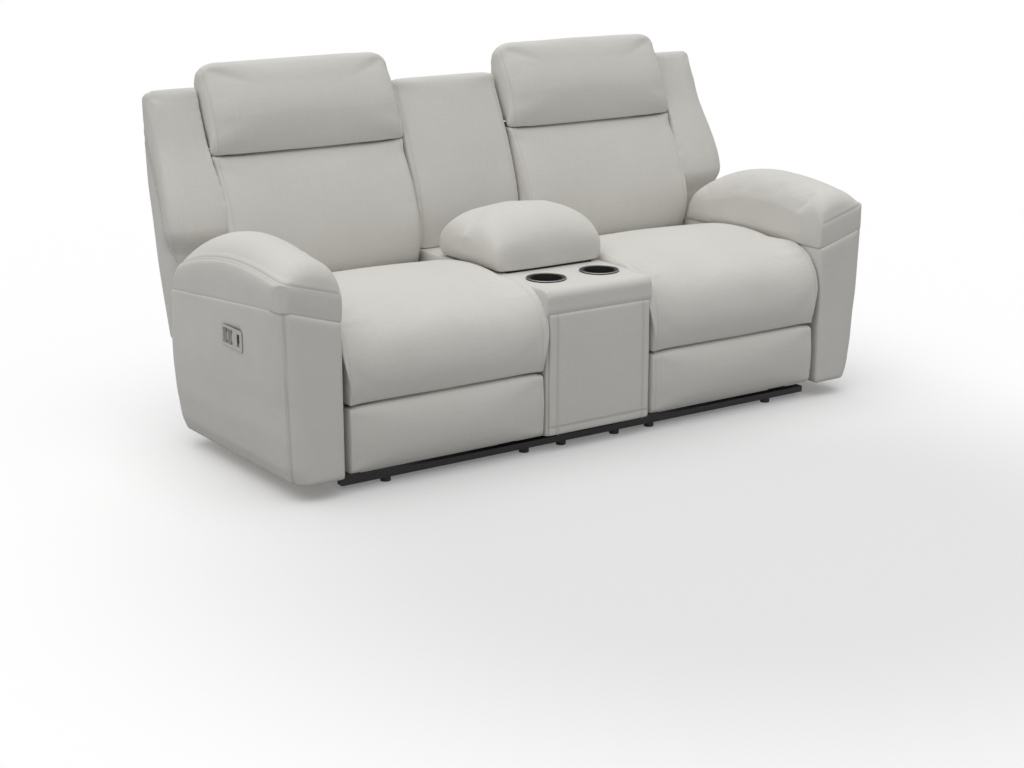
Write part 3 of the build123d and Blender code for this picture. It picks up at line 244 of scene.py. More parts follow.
class LoveseatSizes(bpy.types.PropertyGroup):
    """Sizes of the soft pieces and their sewing."""

    voxel: bpy.props.FloatProperty(
        name="Cloth spacing", description="Spacing of the cloth's points before it is subdivided",
        default=8 * MM, min=4 * MM, max=20 * MM, unit="LENGTH",
    )
    panel_voxel: bpy.props.FloatProperty(
        name="Panel spacing", description="Spacing of the points on stretched covers",
        default=7 * MM, min=3 * MM, max=20 * MM, unit="LENGTH",
    )
    back_voxel: bpy.props.FloatProperty(
        name="Outer back spacing", description="Spacing of the points on the thin outer backs",
        default=4.5 * MM, min=3 * MM, max=20 * MM, unit="LENGTH",
    )
    draw_in: bpy.props.FloatProperty(
        name="Draw in", description="How far a cushion is drawn in before it swells",
        default=4 * MM, min=0.0, max=30 * MM, unit="LENGTH",
    )
    swell_cap: bpy.props.FloatProperty(
        name="Swell cap", description="The most that a point of a cushion may move as it swells",
        default=24 * MM, min=0.0, max=40 * MM, unit="LENGTH",
    )
    pressure: bpy.props.FloatProperty(
        name="Pressure", description="Pressure of the filling on the cloth", default=4.0, min=0.0, max=20.0,
    )
    swell_frames: bpy.props.IntProperty(
        name="Swell frames", description="Steps of the cloth simulation", default=20, min=2, max=60,
    )
    seam_depth: bpy.props.FloatProperty(
        name="Seam depth", description="How far a seam pulls the cover in",
        default=3.2 * MM, min=0.0, max=10 * MM, unit="LENGTH",
    )
    seam_width: bpy.props.FloatProperty(
        name="Seam width", description="Half width of the crease along a seam",
        default=4.5 * MM, min=1 * MM, max=20 * MM, unit="LENGTH",
    )
    stitch_pitch: bpy.props.FloatProperty(
        name="Stitch pitch", description="Distance from one stitch to the next",
        default=9 * MM, min=2 * MM, max=30 * MM, unit="LENGTH",
    )
    stitch_length: bpy.props.FloatProperty(
        name="Stitch length", description="Length of a stitch",
        default=6.5 * MM, min=1 * MM, max=20 * MM, unit="LENGTH",
    )
    stitch_radius: bpy.props.FloatProperty(
        name="Thread radius", description="Half the thread's thickness",
        default=0.7 * MM, min=0.2 * MM, max=3 * MM, unit="LENGTH",
    )


class LoveseatFinishes(bpy.types.PropertyGroup):
    """Colours of the finishes."""

    cover_light: bpy.props.FloatVectorProperty(
        name="Cover, light threads", description="Colour of the lighter threads of the cover",
        subtype="COLOR", size=3, default=linear("#D9D7D2"), min=0.0, max=1.0,
    )
    cover_shade: bpy.props.FloatVectorProperty(
        name="Cover, darker threads", description="Colour of the darker threads of the cover",
        subtype="COLOR", size=3, default=linear("#D2D0CA"), min=0.0, max=1.0,
    )
    thread: bpy.props.FloatVectorProperty(
        name="Sewing thread", description="Colour of the stitches",
        subtype="COLOR", size=3, default=linear("#CFCDC6"), min=0.0, max=1.0,
    )
    plastic: bpy.props.FloatVectorProperty(
        name="Black plastic", description="Colour of the moulded pieces",
        subtype="COLOR", size=3, default=linear("#121213"), min=0.0, max=1.0,
    )
    enamel: bpy.props.FloatVectorProperty(
        name="Black enamel", description="Colour of the painted steel",
        subtype="COLOR", size=3, default=linear("#0C0C0D"), min=0.0, max=1.0,
    )
    steel: bpy.props.FloatVectorProperty(
        name="Zinc plate", description="Colour of the bare links and pins",
        subtype="COLOR", size=3, default=linear("#B9BBBE"), min=0.0, max=1.0,
    )
    plate: bpy.props.FloatVectorProperty(
        name="Brushed plate", description="Colour of the switch plates and the cup rims",
        subtype="COLOR", size=3, default=linear("#9A9894"), min=0.0, max=1.0,
    )
    rocker: bpy.props.FloatVectorProperty(
        name="Grey plastic", description="Colour of the rocker buttons",
        subtype="COLOR", size=3, default=linear("#7F7C78"), min=0.0, max=1.0,
    )
    wood: bpy.props.FloatVectorProperty(
        name="Plywood", description="Colour of the boards",
        subtype="COLOR", size=3, default=linear("#C8A878"), min=0.0, max=1.0,
    )
    floor: bpy.props.FloatVectorProperty(
        name="Floor", description="Colour of the studio floor",
        subtype="COLOR", size=3, default=linear("#FFFFFF"), min=0.0, max=1.0,
    )
    # Painted shadow: the grey that the floor takes in front of the seats, in place of their soft shadow
    pool: bpy.props.FloatVectorProperty(
        name="Floor in front", description="Colour of the soft grey pool on the floor before the seats",
        subtype="COLOR", size=3, default=linear("#E5E5E5"), min=0.0, max=1.0,
    )


def add(tree, kind, inputs=None, links=None, **settings):
    """Adds a node with its settings, its values and the sockets that feed it."""
    made = tree.nodes.new(kind)
    for key, value in settings.items():
        setattr(made, key, value)
    for key, value in (inputs or {}).items():
        made.inputs[key].default_value = value
    for key, source in (links or {}).items():
        tree.links.new(source, made.inputs[key])
    return made


def new_material(name, **values):
    """A material with one principled shader, whose even values are set on its own sockets."""
    material = bpy.data.materials.new(name)
    material.use_nodes = True
    tree = material.node_tree
    tree.nodes.clear()
    shader = add(tree, "ShaderNodeBsdfPrincipled")
    for key, value in values.items():
        shader.inputs[key.replace("_", " ")].default_value = value
    add(tree, "ShaderNodeOutputMaterial", links={"Surface": shader.outputs["BSDF"]})
    return material, tree, shader


def stretched_noise(tree, place, lengths_mm, detail=2.0):
    """Noise whose grains are as long as given along each axis."""
    scale = [1 / (length * MM) for length in lengths_mm]
    mapping = add(tree, "ShaderNodeMapping", {"Scale": scale}, {"Vector": place.outputs["Object"]})
    return add(tree, "ShaderNodeTexNoise", {"Scale": 1.0, "Detail": detail}, {"Vector": mapping.outputs[0]})


def woven_upholstery(finishes):
    """Plain woven polyester: matte, with fine slubs along both threads, a soft sheen at grazing angles and
    painted shade along its seams.
    """
    material, tree, shader = new_material(
        COVER, Roughness=0.92, Sheen_Weight=0.18, Sheen_Roughness=0.45, Specular_IOR_Level=0.2,
    )
    place = add(tree, "ShaderNodeTexCoord")
    axes = add(tree, "ShaderNodeSeparateXYZ", links={0: place.outputs["Object"]})
    facing = add(tree, "ShaderNodeVectorMath", links={0: place.outputs["Normal"]}, operation="ABSOLUTE")
    share = add(tree, "ShaderNodeSeparateXYZ", links={0: facing.outputs[0]})
    # Threads of 1 mm are finer than a pixel, so the weave is drawn three times as coarse to show.
    turns = 2 * math.pi / (WEAVE_MM * MM)
    waves = []
    for axis in range(3):
        angle = add(tree, "ShaderNodeMath", {1: turns}, {0: axes.outputs[axis]}, operation="MULTIPLY")
        waves.append(add(tree, "ShaderNodeMath", links={0: angle.outputs[0]}, operation="SINE"))
    weave = None
    for first, second, across in ((0, 1, 2), (0, 2, 1), (1, 2, 0)):
        cross = add(
            tree, "ShaderNodeMath",
            links={0: waves[first].outputs[0], 1: waves[second].outputs[0]}, operation="MULTIPLY",
        )
        shown = add(
            tree, "ShaderNodeMath",
            links={0: cross.outputs[0], 1: share.outputs[across]}, operation="MULTIPLY",
        )
        if weave is None:
            weave = shown
        else:
            weave = add(
                tree, "ShaderNodeMath", links={0: weave.outputs[0], 1: shown.outputs[0]}, operation="ADD",
            )
    along = stretched_noise(tree, place, (SLUB_LENGTH_MM, SLUB_WIDTH_MM, SLUB_WIDTH_MM))
    up = stretched_noise(tree, place, (SLUB_WIDTH_MM, SLUB_LENGTH_MM, SLUB_LENGTH_MM))
    slubs = add(tree, "ShaderNodeMath", links={0: along.outputs[0], 1: up.outputs[0]}, operation="ADD")
    patches = stretched_noise(tree, place, (PATCH_MM, PATCH_MM, PATCH_MM), detail=1.0)
    mottle = add(tree, "ShaderNodeMath", links={0: slubs.outputs[0], 1: patches.outputs[0]}, operation="ADD")
    level = add(
        tree, "ShaderNodeMapRange", {"From Min": MOTTLE_LOW, "From Max": MOTTLE_HIGH},
        {"Value": mottle.outputs[0]},
    )
    threads = add(tree, "ShaderNodeMix", links={"Factor": level.outputs[0]}, data_type="RGBA")
    threads.inputs[6].default_value = (*finishes.cover_shade, 1.0)
    threads.inputs[7].default_value = (*finishes.cover_light, 1.0)
    # Painted shade: along the seams the cover darkens towards a dark copy of its shade tone, where the tuck
    # falls in shade.
    seam = add(tree, "ShaderNodeAttribute", attribute_name="seam")
    tucked = add(
        tree, "ShaderNodeMix", links={"Factor": seam.outputs["Fac"], 6: threads.outputs[2]}, data_type="RGBA",
    )
    tucked.inputs[7].default_value = (*[TUCK_PAINTED_SHADE * c for c in finishes.cover_shade], 1.0)
    tree.links.new(tucked.outputs[2], shader.inputs["Base Color"])
    height = add(
        tree, "ShaderNodeMath", {1: 0.5}, {0: weave.outputs[0], 2: slubs.outputs[0]},
        operation="MULTIPLY_ADD",
    )
    bump = add(
        tree, "ShaderNodeBump", {"Strength": 0.25, "Distance": 0.4 * MM}, {"Height": height.outputs[0]},
    )
    tree.links.new(bump.outputs[0], shader.inputs["Normal"])
    return material


def grained(name, colour, grain_mm, depth_mm, spread=0.12, metal=0.0, rough=0.5, lengths=None):
    """A moulded, painted or rolled surface, with a fine grain in its colour, gloss and relief."""
    material, tree, shader = new_material(name, Metallic=metal)
    place = add(tree, "ShaderNodeTexCoord")
    grain = stretched_noise(tree, place, lengths or (grain_mm, grain_mm, grain_mm), detail=3.0)
    tint = add(tree, "ShaderNodeMix", links={"Factor": grain.outputs[0]}, data_type="RGBA")
    tint.inputs[6].default_value = (*[c * (1 - spread) for c in colour], 1.0)
    tint.inputs[7].default_value = (*[min(1.0, c * (1 + spread)) for c in colour], 1.0)
    tree.links.new(tint.outputs[2], shader.inputs["Base Color"])
    gloss = add(
        tree, "ShaderNodeMapRange", {"To Min": rough - GLOSS_SPREAD, "To Max": rough + GLOSS_SPREAD},
        {"Value": grain.outputs[0]},
    )
    tree.links.new(gloss.outputs[0], shader.inputs["Roughness"])
    bump = add(
        tree, "ShaderNodeBump", {"Strength": 0.4, "Distance": depth_mm * MM}, {"Height": grain.outputs[0]},
    )
    tree.links.new(bump.outputs[0], shader.inputs["Normal"])
    return material


# Every finish but the cover: its colour, its grain and relief in millimetres, and its gloss
GRAINED_FINISHES = {
    # Twisted thread: a satin line a little darker than the cover.
    THREAD: ("thread", {"grain_mm": 1.2, "depth_mm": 0.2, "rough": 0.7}),
    # Matt felted sheet in the cover's own tone, stretched over the boards that show when things open.
    "spunbonded_lining": ("cover_shade", {"grain_mm": 2.0, "depth_mm": 0.1, "rough": 0.85}),
    # Spark-eroded moulding: near black with a fine even grain.
    "moulded_black_abs": ("plastic", {"grain_mm": 1.6, "depth_mm": 0.08, "rough": 0.62}),
    # The same moulding in grey, for the buttons.
    "moulded_grey_abs": ("rocker", {"grain_mm": 1.6, "depth_mm": 0.08, "rough": 0.52}),
    # Baked enamel: black with a slight orange peel.
    "black_enamelled_steel": ("enamel", {"grain_mm": 4.0, "depth_mm": 0.06, "rough": 0.5}),
    # Bright zinc: a pale metal with a cloudy lustre.
    "zinc_plated_steel": ("steel", {"grain_mm": 14.0, "depth_mm": 0.03, "metal": 1.0, "rough": 0.36}),
    # Brushed along its length: fine streaks that run front to back.
    "brushed_nickel_plate": (
        "plate",
        {"grain_mm": 1.0, "depth_mm": 0.04, "metal": 1.0, "rough": 0.34, "lengths": (0.8, 40.0, 0.8)},
    ),
    # Rotary-cut veneer: long grain across the seats.
    "rotary_cut_plywood": (
        "wood",
        {"grain_mm": 6.0, "depth_mm": 0.15, "spread": 0.22, "rough": 0.66, "lengths": (160.0, 7.0, 7.0)},
    ),
}


def finish(name):
    """The material of that name, made the first time that it is asked for."""
    found = bpy.data.materials.get(name)
    if found:
        return found
    finishes = bpy.context.scene.loveseat_finishes
    if name == COVER:
        return woven_upholstery(finishes)
    colour, look = GRAINED_FINISHES[name]
    return grained(name, getattr(finishes, colour), **look)


def points_of(mesh):
    """Vertex places of a mesh."""
    flat = np.empty(len(mesh.vertices) * 3, np.float32)
    mesh.vertices.foreach_get("co", flat)
    return flat.reshape(-1, 3).astype(float)


def normals_of(mesh):
    """Vertex normals of a mesh."""
    flat = np.empty(len(mesh.vertices) * 3, np.float32)
    mesh.vertex_normals.foreach_get("vector", flat)
    return flat.reshape(-1, 3).astype(float)


def place_points(mesh, points):
    """Moves a mesh's vertices."""
    mesh.vertices.foreach_set("co", points.astype(np.float32).ravel())
    mesh.update()


def shade_smooth(mesh):
    """Gives every face of a mesh smooth shading."""
    for face in mesh.polygons:
        face.use_smooth = True


def give_finish(mesh, material):
    """Gives a mesh one finish."""
    mesh.materials.clear()
    mesh.materials.append(finish(material))


def growing(distance, reach):
    """Nothing at no distance, and all at a reach or beyond."""
    return np.clip(distance / reach, 0, 1)


def fading(distance, reach):
    """All at no distance, and nothing at a reach or beyond."""
    return np.clip(1 - distance / reach, 0, 1)


def eased(share):
    """The same share with a gentle start and end."""
    return share ** 2 * (3 - 2 * share)


def from_side(points, low, high):
    """Distance of points from the nearer of a box's two sides."""
    return np.minimum(points[:, 0] - low.x, high.x - points[:, 0])


def new_piece(name, mesh, material):
    """An object at the origin that holds a mesh and its finish."""
    mesh.name = name
    piece = bpy.data.objects.new(name, mesh)
    bpy.context.scene.collection.objects.link(piece)
    give_finish(mesh, material)
    return piece


def evaluated(piece):
    """Applies a piece's modifiers, so that what is left is a plain mesh."""
    graph = bpy.context.evaluated_depsgraph_get()
    made = bpy.data.meshes.new_from_object(piece.evaluated_get(graph))
    piece.modifiers.clear()
    old = piece.data
    made.name = old.name
    piece.data = made
    bpy.data.meshes.remove(old)
    return piece


def leant(slope):
    """Leans a shape back by a depth for each height."""
    return Matrix(((1, 0, 0, 0), (0, 1, slope, 0), (0, 0, 1, 0), (0, 0, 0, 1)))


def remeshed_copy(node, name, spacing, filler=None, slope=0.0):
    """A copy of a node's closed shape, with any filler block, covered with even four-sided faces.

    A leaning shape is covered upright, so that the rows of faces follow its edges.
    """
    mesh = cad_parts[node].data.copy()
    mesh.transform(leant(-slope))
    if filler:
        low, high = filler
        block = bmesh.new()
        block.from_mesh(mesh)
        place = Matrix.Translation((low + high) / 2) @ Matrix.Diagonal((*(high - low), 1.0))
        bmesh.ops.create_cube(block, size=1.0, matrix=place)
        block.to_mesh(mesh)
        block.free()
    piece = new_piece(name, mesh, COVER)
    weld = piece.modifiers.new("Weld", "WELD")
    weld.merge_threshold = 0.01 * MM
    cover = piece.modifiers.new("Cover", "REMESH")
    cover.mode = "VOXEL"
    cover.voxel_size = spacing
    cover.use_smooth_shade = True
    evaluated(piece)
    piece.data.transform(leant(slope))
    return piece


def relax(piece, rounds, factor=0.5):
    """Evens out small steps in the cover."""
    smooth = piece.modifiers.new("Relax", "SMOOTH")
    smooth.iterations = rounds
    smooth.factor = factor
    return evaluated(piece)


def subdivide(piece):
    """One round of subdivision."""
    finer = piece.modifiers.new("Finer", "SUBSURF")
    finer.levels = 1
    finer.render_levels = 1
    return evaluated(piece)


def swell(piece, held, sizes):
    """Blows the cover up as cloth over its filling, with the held points kept and every move capped."""
    scene = bpy.context.scene
    start = points_of(piece.data)
    group = piece.vertex_groups.new(name="held")
    group.add([int(i) for i in np.flatnonzero(held)], 1.0, "REPLACE")
    cloth = piece.modifiers.new("Swell", "CLOTH")
    cloth.settings.quality = 4
    cloth.settings.mass = 0.25
    cloth.settings.tension_stiffness = 18.0
    cloth.settings.compression_stiffness = 18.0
    cloth.settings.bending_stiffness = 1.2
    cloth.settings.use_pressure = True
    cloth.settings.uniform_pressure_force = sizes.pressure
    cloth.settings.vertex_group_mass = group.name
    cloth.settings.effector_weights.gravity = 0.0
    cloth.collision_settings.use_collision = False
    cloth.point_cache.frame_start = 1
    cloth.point_cache.frame_end = sizes.swell_frames
    for number in range(1, sizes.swell_frames + 1):
        scene.frame_set(number)
    graph = bpy.context.evaluated_depsgraph_get()
    swollen = points_of(piece.evaluated_get(graph).data)
    piece.modifiers.remove(cloth)
    scene.frame_set(1)
    piece.vertex_groups.clear()
    move = swollen - start
    length = np.linalg.norm(move, axis=1)
    share = np.minimum(1.0, sizes.swell_cap / np.maximum(length, 1e-9))
    place_points(piece.data, start + move * share[:, None])


def plane_distance(points, seam):
    """Distance of points from a seam's plane, or from the arch that the seam has above it."""
    place, across, _, *arch = seam
    away = (points - np.array(place)) @ np.array(Vector(across).normalized())
    return away - arch[0](points) if arch else away


def crease(piece, seams, sizes, strength=1.0):
    """Pulls the cover in along its seams and marks the tuck for painted shade in its material."""
    points = points_of(piece.data)
    normals = normals_of(piece.data)
    tuck = np.zeros(len(points))
    for seam in seams:
        near = np.exp(-((plane_distance(points, seam) / sizes.seam_width) ** 2))
        tuck = np.maximum(tuck, near * seam[2](points, normals))
    place_points(piece.data, points - normals * (sizes.seam_depth * strength * tuck)[:, None])
    # The seam attribute darkens the cover in its material: painted shade in the tuck.
    painted_shade_mark = piece.data.attributes.new("seam", "FLOAT", "POINT")
    painted_shade_mark.data.foreach_set("value", (tuck ** 3 * strength).astype(np.float32))


def cut_line(piece, seam, offset):
    """Points and edges where a plane beside a seam cuts a piece, lifted just off its cover."""
    mesh = piece.data
    points = points_of(mesh)
    normals = normals_of(mesh)
    shown = seam[2](points, normals) > 0.5
    away = plane_distance(points, seam) - offset
    ends = np.empty(len(mesh.edges) * 2, np.int32)
    mesh.edges.foreach_get("vertices", ends)
    ends = ends.reshape(-1, 2)
    sides = np.empty(len(mesh.loops), np.int32)
    mesh.loops.foreach_get("edge_index", sides)
    quads = sides.reshape(-1, 4)
    first, last = ends[:, 0], ends[:, 1]
    crossed = (away[first] > 0) != (away[last] > 0)
    crossed &= shown[first] & shown[last]
    hits = crossed[quads]
    rows = hits.sum(axis=1) == 2
    pairs = quads[rows][hits[rows]].reshape(-1, 2)
    used, pairs = np.unique(pairs, return_inverse=True)
    first, last = first[used], last[used]
    share = (away[first] / (away[first] - away[last]))[:, None]
    lifted = points + normals * STITCH_LIFT
    return lifted[first] * (1 - share) + lifted[last] * share, pairs.reshape(-1, 2)


def sew(piece, body, seams, offsets):
    """Notes the stitch lines beside a piece's seams, for the body that it rides on."""
    for seam in seams:
        for offset in offsets:
            stitch_lines.setdefault(body, []).append(cut_line(piece, seam, offset))


def uneven(piece, seed, depth=1.3 * MM, length=140 * MM):
    """Gives a cover the slight unevenness of its filling."""
    points = points_of(piece.data)
    normals = normals_of(piece.data)
    shift = Vector(NOISE_SHIFT) * seed
    waves = np.array([noise.noise(Vector(p) / length + shift) for p in points])
    place_points(piece.data, points + normals * (depth * waves)[:, None])


def keep_within(piece, low, high, room):
    """Keeps a cover inside its node's box with some room on each axis."""
    points = points_of(piece.data)
    grown = np.array(room)
    place_points(piece.data, np.clip(points, np.array(low) - grown, np.array(high) + grown))


def mirrored(piece, name):
    """The same piece on the other side of the loveseat."""
    mesh = piece.data.copy()
    mesh.transform(Matrix.Scale(-1, 4, (1, 0, 0)))
    mesh.flip_normals()
    return new_piece(name, mesh, COVER)


def pad(node, name, held, seams, sizes, room=PAD_ROOM, shape=None, slope=0.0):
    """A filled cushion from a node's solid: drawn in, swollen as cloth, subdivided and shaped."""
    low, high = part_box(node)
    piece = remeshed_copy(node, name, sizes.voxel, slope=slope)
    relax(piece, rounds=3)
    points = points_of(piece.data)
    normals = normals_of(piece.data)
    kept = held(points, normals, low, high)
    near = np.zeros(len(points), bool)
    for seam in seams(low, high):
        beside = np.abs(plane_distance(points, seam)) < 0.6 * sizes.voxel
        near |= beside & (seam[2](points, normals) > 0.5)
    place_points(piece.data, points - normals * (sizes.draw_in * ~kept)[:, None])
    swell(piece, kept | near, sizes)
    relax(piece, rounds=2)
    subdivide(piece)
    keep_within(piece, low, high, room)
    if shape:
        place_points(piece.data, shape(points_of(piece.data)))
        relax(piece, rounds=4)
    return piece


def dress(piece, node, body, seams, sizes, seed, strength=SOFT_SEAM, offsets=(), bend=None):
    """Creases and sews a finished cushion and hides its node; it attaches the cushion to its body, or, given a
    bend, only bakes its place into its mesh, neither bending nor attaching it.
    """
    uneven(piece, seed)
    crease(piece, seams, sizes, strength)
    sew(piece, body, seams, offsets)
    shade_smooth(piece.data)
    if bend:
        other, start, end = bend
        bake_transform(piece)
        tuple(start)
        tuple(end)
    else:
        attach(piece, body)
    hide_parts(node)


def side_seam(seam):
    """The seam mirrored to the other side."""
    place, across, shown, *arch = seam

    def shown_there(points, normals):
        flip = np.array((-1.0, 1.0, 1.0))
        return shown(points * flip, normals * flip)

    return ((-place[0], place[1], place[2]), (-across[0], across[1], across[2]), shown_there, *arch)


def pair_of_pads(
    part, body, held, seams, sizes, room=PAD_ROOM, shape=None, strength=SOFT_SEAM, offsets=(),
    bend=None, slope=0.0,
):
    """A right hand cushion and its mirrored left hand one."""
    node = "right_" + part
    piece = pad(node, node + "_cover", held, seams, sizes, room, shape, slope)
    other = mirrored(piece, "left_" + part + "_cover")
    lines = seams(*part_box(node))
    others = [side_seam(seam) for seam in lines]
    for made, side, seed, sewn in ((piece, "right", 1, lines), (other, "left", 2, others)):
        bent = (bend[0].format(side), *bend[1:]) if bend else None
        dress(made, f"{side}_{part}", body.format(side), sewn, sizes, seed, strength, offsets, bent)


def everywhere(points, normals):
    """A seam that shows all round."""
    return np.ones(len(points))


def edge_seams(inset, shown):
    """Seams that run front to back beside a cushion's two sides."""
    def seams(low, high):
        return [((x, 0, 0), (1, 0, 0), shown) for x in (low.x + inset, high.x - inset)]

    return seams


def off_the_arm(points, high):
    """Draws a seat's outer side in, which leaves the dark slit beside the arm."""
    moved = points.copy()
    moved[:, 0] -= ARM_SLIT * fading(high.x - points[:, 0], ARM_SLIT_REACH)
    return moved


def squared(across, along, radius, share):
    """How far a rounded corner's points move along its two faces, which fills it towards a square one."""
    first = fading(across, radius)
    second = fading(along, radius)
    grow = share * (np.hypot(first, second) / np.maximum(np.maximum(first, second), 0.001) - 1)
    return radius * first * grow, radius * second * grow


def crest(points, step=12 * MM):
    """Height of a cushion's highest point at each point's depth."""
    first = points[:, 1].min()
    rows = ((points[:, 1] - first) / step).astype(int)
    tops = np.full(rows.max() + 1, points[:, 2].min())
    np.maximum.at(tops, rows, points[:, 2])
    return np.interp(points[:, 1], first + (np.arange(len(tops)) + 0.5) * step, tops)


def rounded(across, along, radius):
    """How far a corner's points move back along its two faces, which gives it a radius."""
    first = np.clip(1 - across / radius, 0, None)
    second = np.clip(1 - along / radius, 0, None)
    shrink = 1 - 1 / np.maximum(np.hypot(first, second), 1)
    shrink *= (first > 0) & (second > 0)
    return radius * first * shrink, radius * second * shrink


def square_corners(points, low, high, corner):
    """Fills the front of a rolled end out towards a square corner."""
    width, fill = corner
    roll = fading(from_side(points, low, high), width)
    front = growing(low.y + CORNER_START - points[:, 1], CORNER_BLEND)
    moved = points.copy()
    moved[:, 1] -= fill * (1 - np.sqrt(1 - roll ** 2)) * front
    return moved


class LOVESEAT_OT_seat_cushions(bpy.types.Operator):
    """Crowned seat cushions with a waterfall front"""

    bl_idname = "loveseat.seat_cushions"
    bl_label = "Seat cushions"

    def execute(self, context):
        def held(points, normals, low, high):
            return (normals[:, 2] < -0.6) | (points[:, 1] > high.y - SEAT_HELD_REAR)

        def shown(points, normals):
            return (normals[:, 2] > -0.5).astype(float)

        low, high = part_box("right_seat_cushion")

        def shape(points):
            sag = fading(points[:, 2] - low.z, SEAT_LIP_RISE)
            side = from_side(points, low, high)
            ahead = growing(low.y + SEAT_SHOULDER_START - points[:, 1], SEAT_SHOULDER_BLEND)
            share = SEAT_SHOULDER_REAR + SEAT_SHOULDER_GAIN * eased(ahead)
            out, lift = squared(side, crest(points) - points[:, 2], SEAT_SHOULDER, share)
            moved = square_corners(points, low, high, SEAT_CORNER)
            moved[:, 0] += out * np.sign(points[:, 0] - (low.x + high.x) / 2)
            moved[:, 2] += lift - SEAT_LIP_SAG * sag
            return off_the_arm(moved, high)

        pair_of_pads(
            "seat_cushion", "base", held, edge_seams(EDGE_SEAM, shown), context.scene.loveseat_sizes,
            shape=shape,
        )
        return {"FINISHED"}


class LOVESEAT_OT_footrest_pads(bpy.types.Operator):
    """Footrest pads below the seat fronts"""

    bl_idname = "loveseat.footrest_pads"
    bl_label = "Footrest pads"

    def execute(self, context):
        def held(points, normals, low, high):
            return points[:, 1] > high.y - FOOTREST_HELD_REAR

        def shown(points, normals):
            return (normals[:, 1] < 0.3).astype(float)

        low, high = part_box("right_footrest_pad")

        def shape(points):
            return off_the_arm(square_corners(points, low, high, FOOTREST_CORNER), high)

        pair_of_pads(
            "footrest_pad", "{}_footrest", held, edge_seams(EDGE_SEAM, shown), context.scene.loveseat_sizes,
            shape=shape,
        )
        return {"FINISHED"}


def lumbar(points):
    """How full the back is at each point's height: nothing at its ends and all at the lumbar."""
    low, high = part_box("right_back_pad")
    up = growing(points[:, 2] - low.z, high.z - low.z)
    return np.sin(math.pi * up ** LUMBAR_SKEW)


def before_frame(points, node):
    """How far points stand in front of the leaning plane that a node's rear face lies on."""
    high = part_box(node)[1]
    return high.y - (high.z - points[:, 2]) * BACK_SLOPE - points[:, 1]


class LOVESEAT_OT_back_pads(bpy.types.Operator):
    """Back cushions, full at the lumbar"""

    bl_idname = "loveseat.back_pads"
    bl_label = "Back cushions"

    def execute(self, context):
        def held(points, normals, low, high):
            return (normals[:, 1] > 0.5) | (points[:, 2] < low.z + BACK_HELD_FOOT)

        def shown(points, normals):
            return (normals[:, 1] < 0.2).astype(float)

        low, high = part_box("right_back_pad")

        def shape(points):
            front = growing(before_frame(points, "right_back_pad") - BACK_FRONT_START, BACK_FRONT_BLEND)
            full = lumbar(points) * front
            across = 2 * (points[:, 0] - low.x) / (high.x - low.x) - 1
            side = from_side(points, low, high)
            out, lift = squared(side, high.z - points[:, 2], BACK_SQUARE, SQUARE_SHARE)
            moved = points.copy()
            moved[:, 0] += LUMBAR_SPREAD * full * np.clip(across, 0, 1) + out * front * np.sign(across)
            moved[:, 1] -= LUMBAR * full
            moved[:, 2] += lift * front
            return moved

        pair_of_pads(
            "back_pad", "{}_back", held, edge_seams(EDGE_SEAM, shown), context.scene.loveseat_sizes,
            shape=shape,
        )
        return {"FINISHED"}


class LOVESEAT_OT_headrests(bpy.types.Operator):
    """Headrest pillows"""

    bl_idname = "loveseat.headrests"
    bl_label = "Headrests"

    def execute(self, context):
        def held(points, normals, low, high):
            return (normals[:, 2] < -0.7) | (normals[:, 1] > 0.8)

        def shown(points, normals):
            return (normals[:, 2] > -0.5).astype(float)

        low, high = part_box("right_headrest_pad")
        back_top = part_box("right_back_pad")[1].z
        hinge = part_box("right_headrest_plate")[0].y
        edge = back_top - HEADREST_LAP

        def shape(points):
            down = fading(points[:, 2] - low.z, HEADREST_LAP_RISE)
            front = growing(hinge + HEADREST_FRONT_START - points[:, 1], HEADREST_FRONT_BLEND)
            side = from_side(points, low, high)
            roll = fading(side, HEADREST_CORNER)
            up = growing(points[:, 2] - low.z, high.z - low.z)
            outward = np.sign(points[:, 0] - (low.x + high.x) / 2)
            out, lower = squared(side, points[:, 2] - low.z, HEADREST_SQUARE, SQUARE_SHARE)
            inward, sunk = rounded(side, high.z - points[:, 2], HEADREST_ROUND)
            moved = points.copy()
            moved[:, 0] += ((out + HEADREST_CORNER_OUT * roll ** 2 * down) * front - inward) * outward
            moved[:, 1] -= HEADREST_CORNER_FILL * (1 - np.sqrt(1 - roll ** 2)) * down * front
            moved[:, 1] -= HEADREST_FULL * np.sin(math.pi * up) * (1 - roll ** 2) * front
            moved[:, 1] += HEADREST_TUCK * (1 - up) * front
            moved[:, 2] -= (low.z - edge) * down * front + lower * front + sunk
            return moved

        bend = ("{}_back", (0, hinge, edge), (0, hinge, low.z + HEADREST_BEND))
        pair_of_pads(
            "headrest_pad", "{}_headrest", held, edge_seams(EDGE_SEAM, shown), context.scene.loveseat_sizes,
            shape=shape, bend=bend,
        )
        return {"FINISHED"}


def narrow_foot(points):
    """Draws the rear of a wing and its outer back in towards the bottom."""
    low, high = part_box("right_wing_pad")
    down = fading(points[:, 2] - low.z, WING_TAPER_RISE)
    out = growing(points[:, 0] - low.x, high.x - low.x)
    rear = fading(before_frame(points, "right_wing_pad"), WING_TAPER_DEPTH)
    moved = points.copy()
    moved[:, 0] -= WING_TAPER * down * out * rear
    return moved


def outer_back_thickness(heights):
    """How thick the outer back is at its outer edge, at some heights."""
    node = "right_back_cover"
    points = points_of(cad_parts[node].data)
    thick = -before_frame(points, "right_wing_pad")
    rear = (points[:, 0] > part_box(node)[1].x - OUTER_BACK_EDGE) & (thick > OUTER_BACK_EDGE)
    order = np.argsort(points[rear, 2])
    return np.interp(heights, points[rear, 2][order], thick[rear][order])


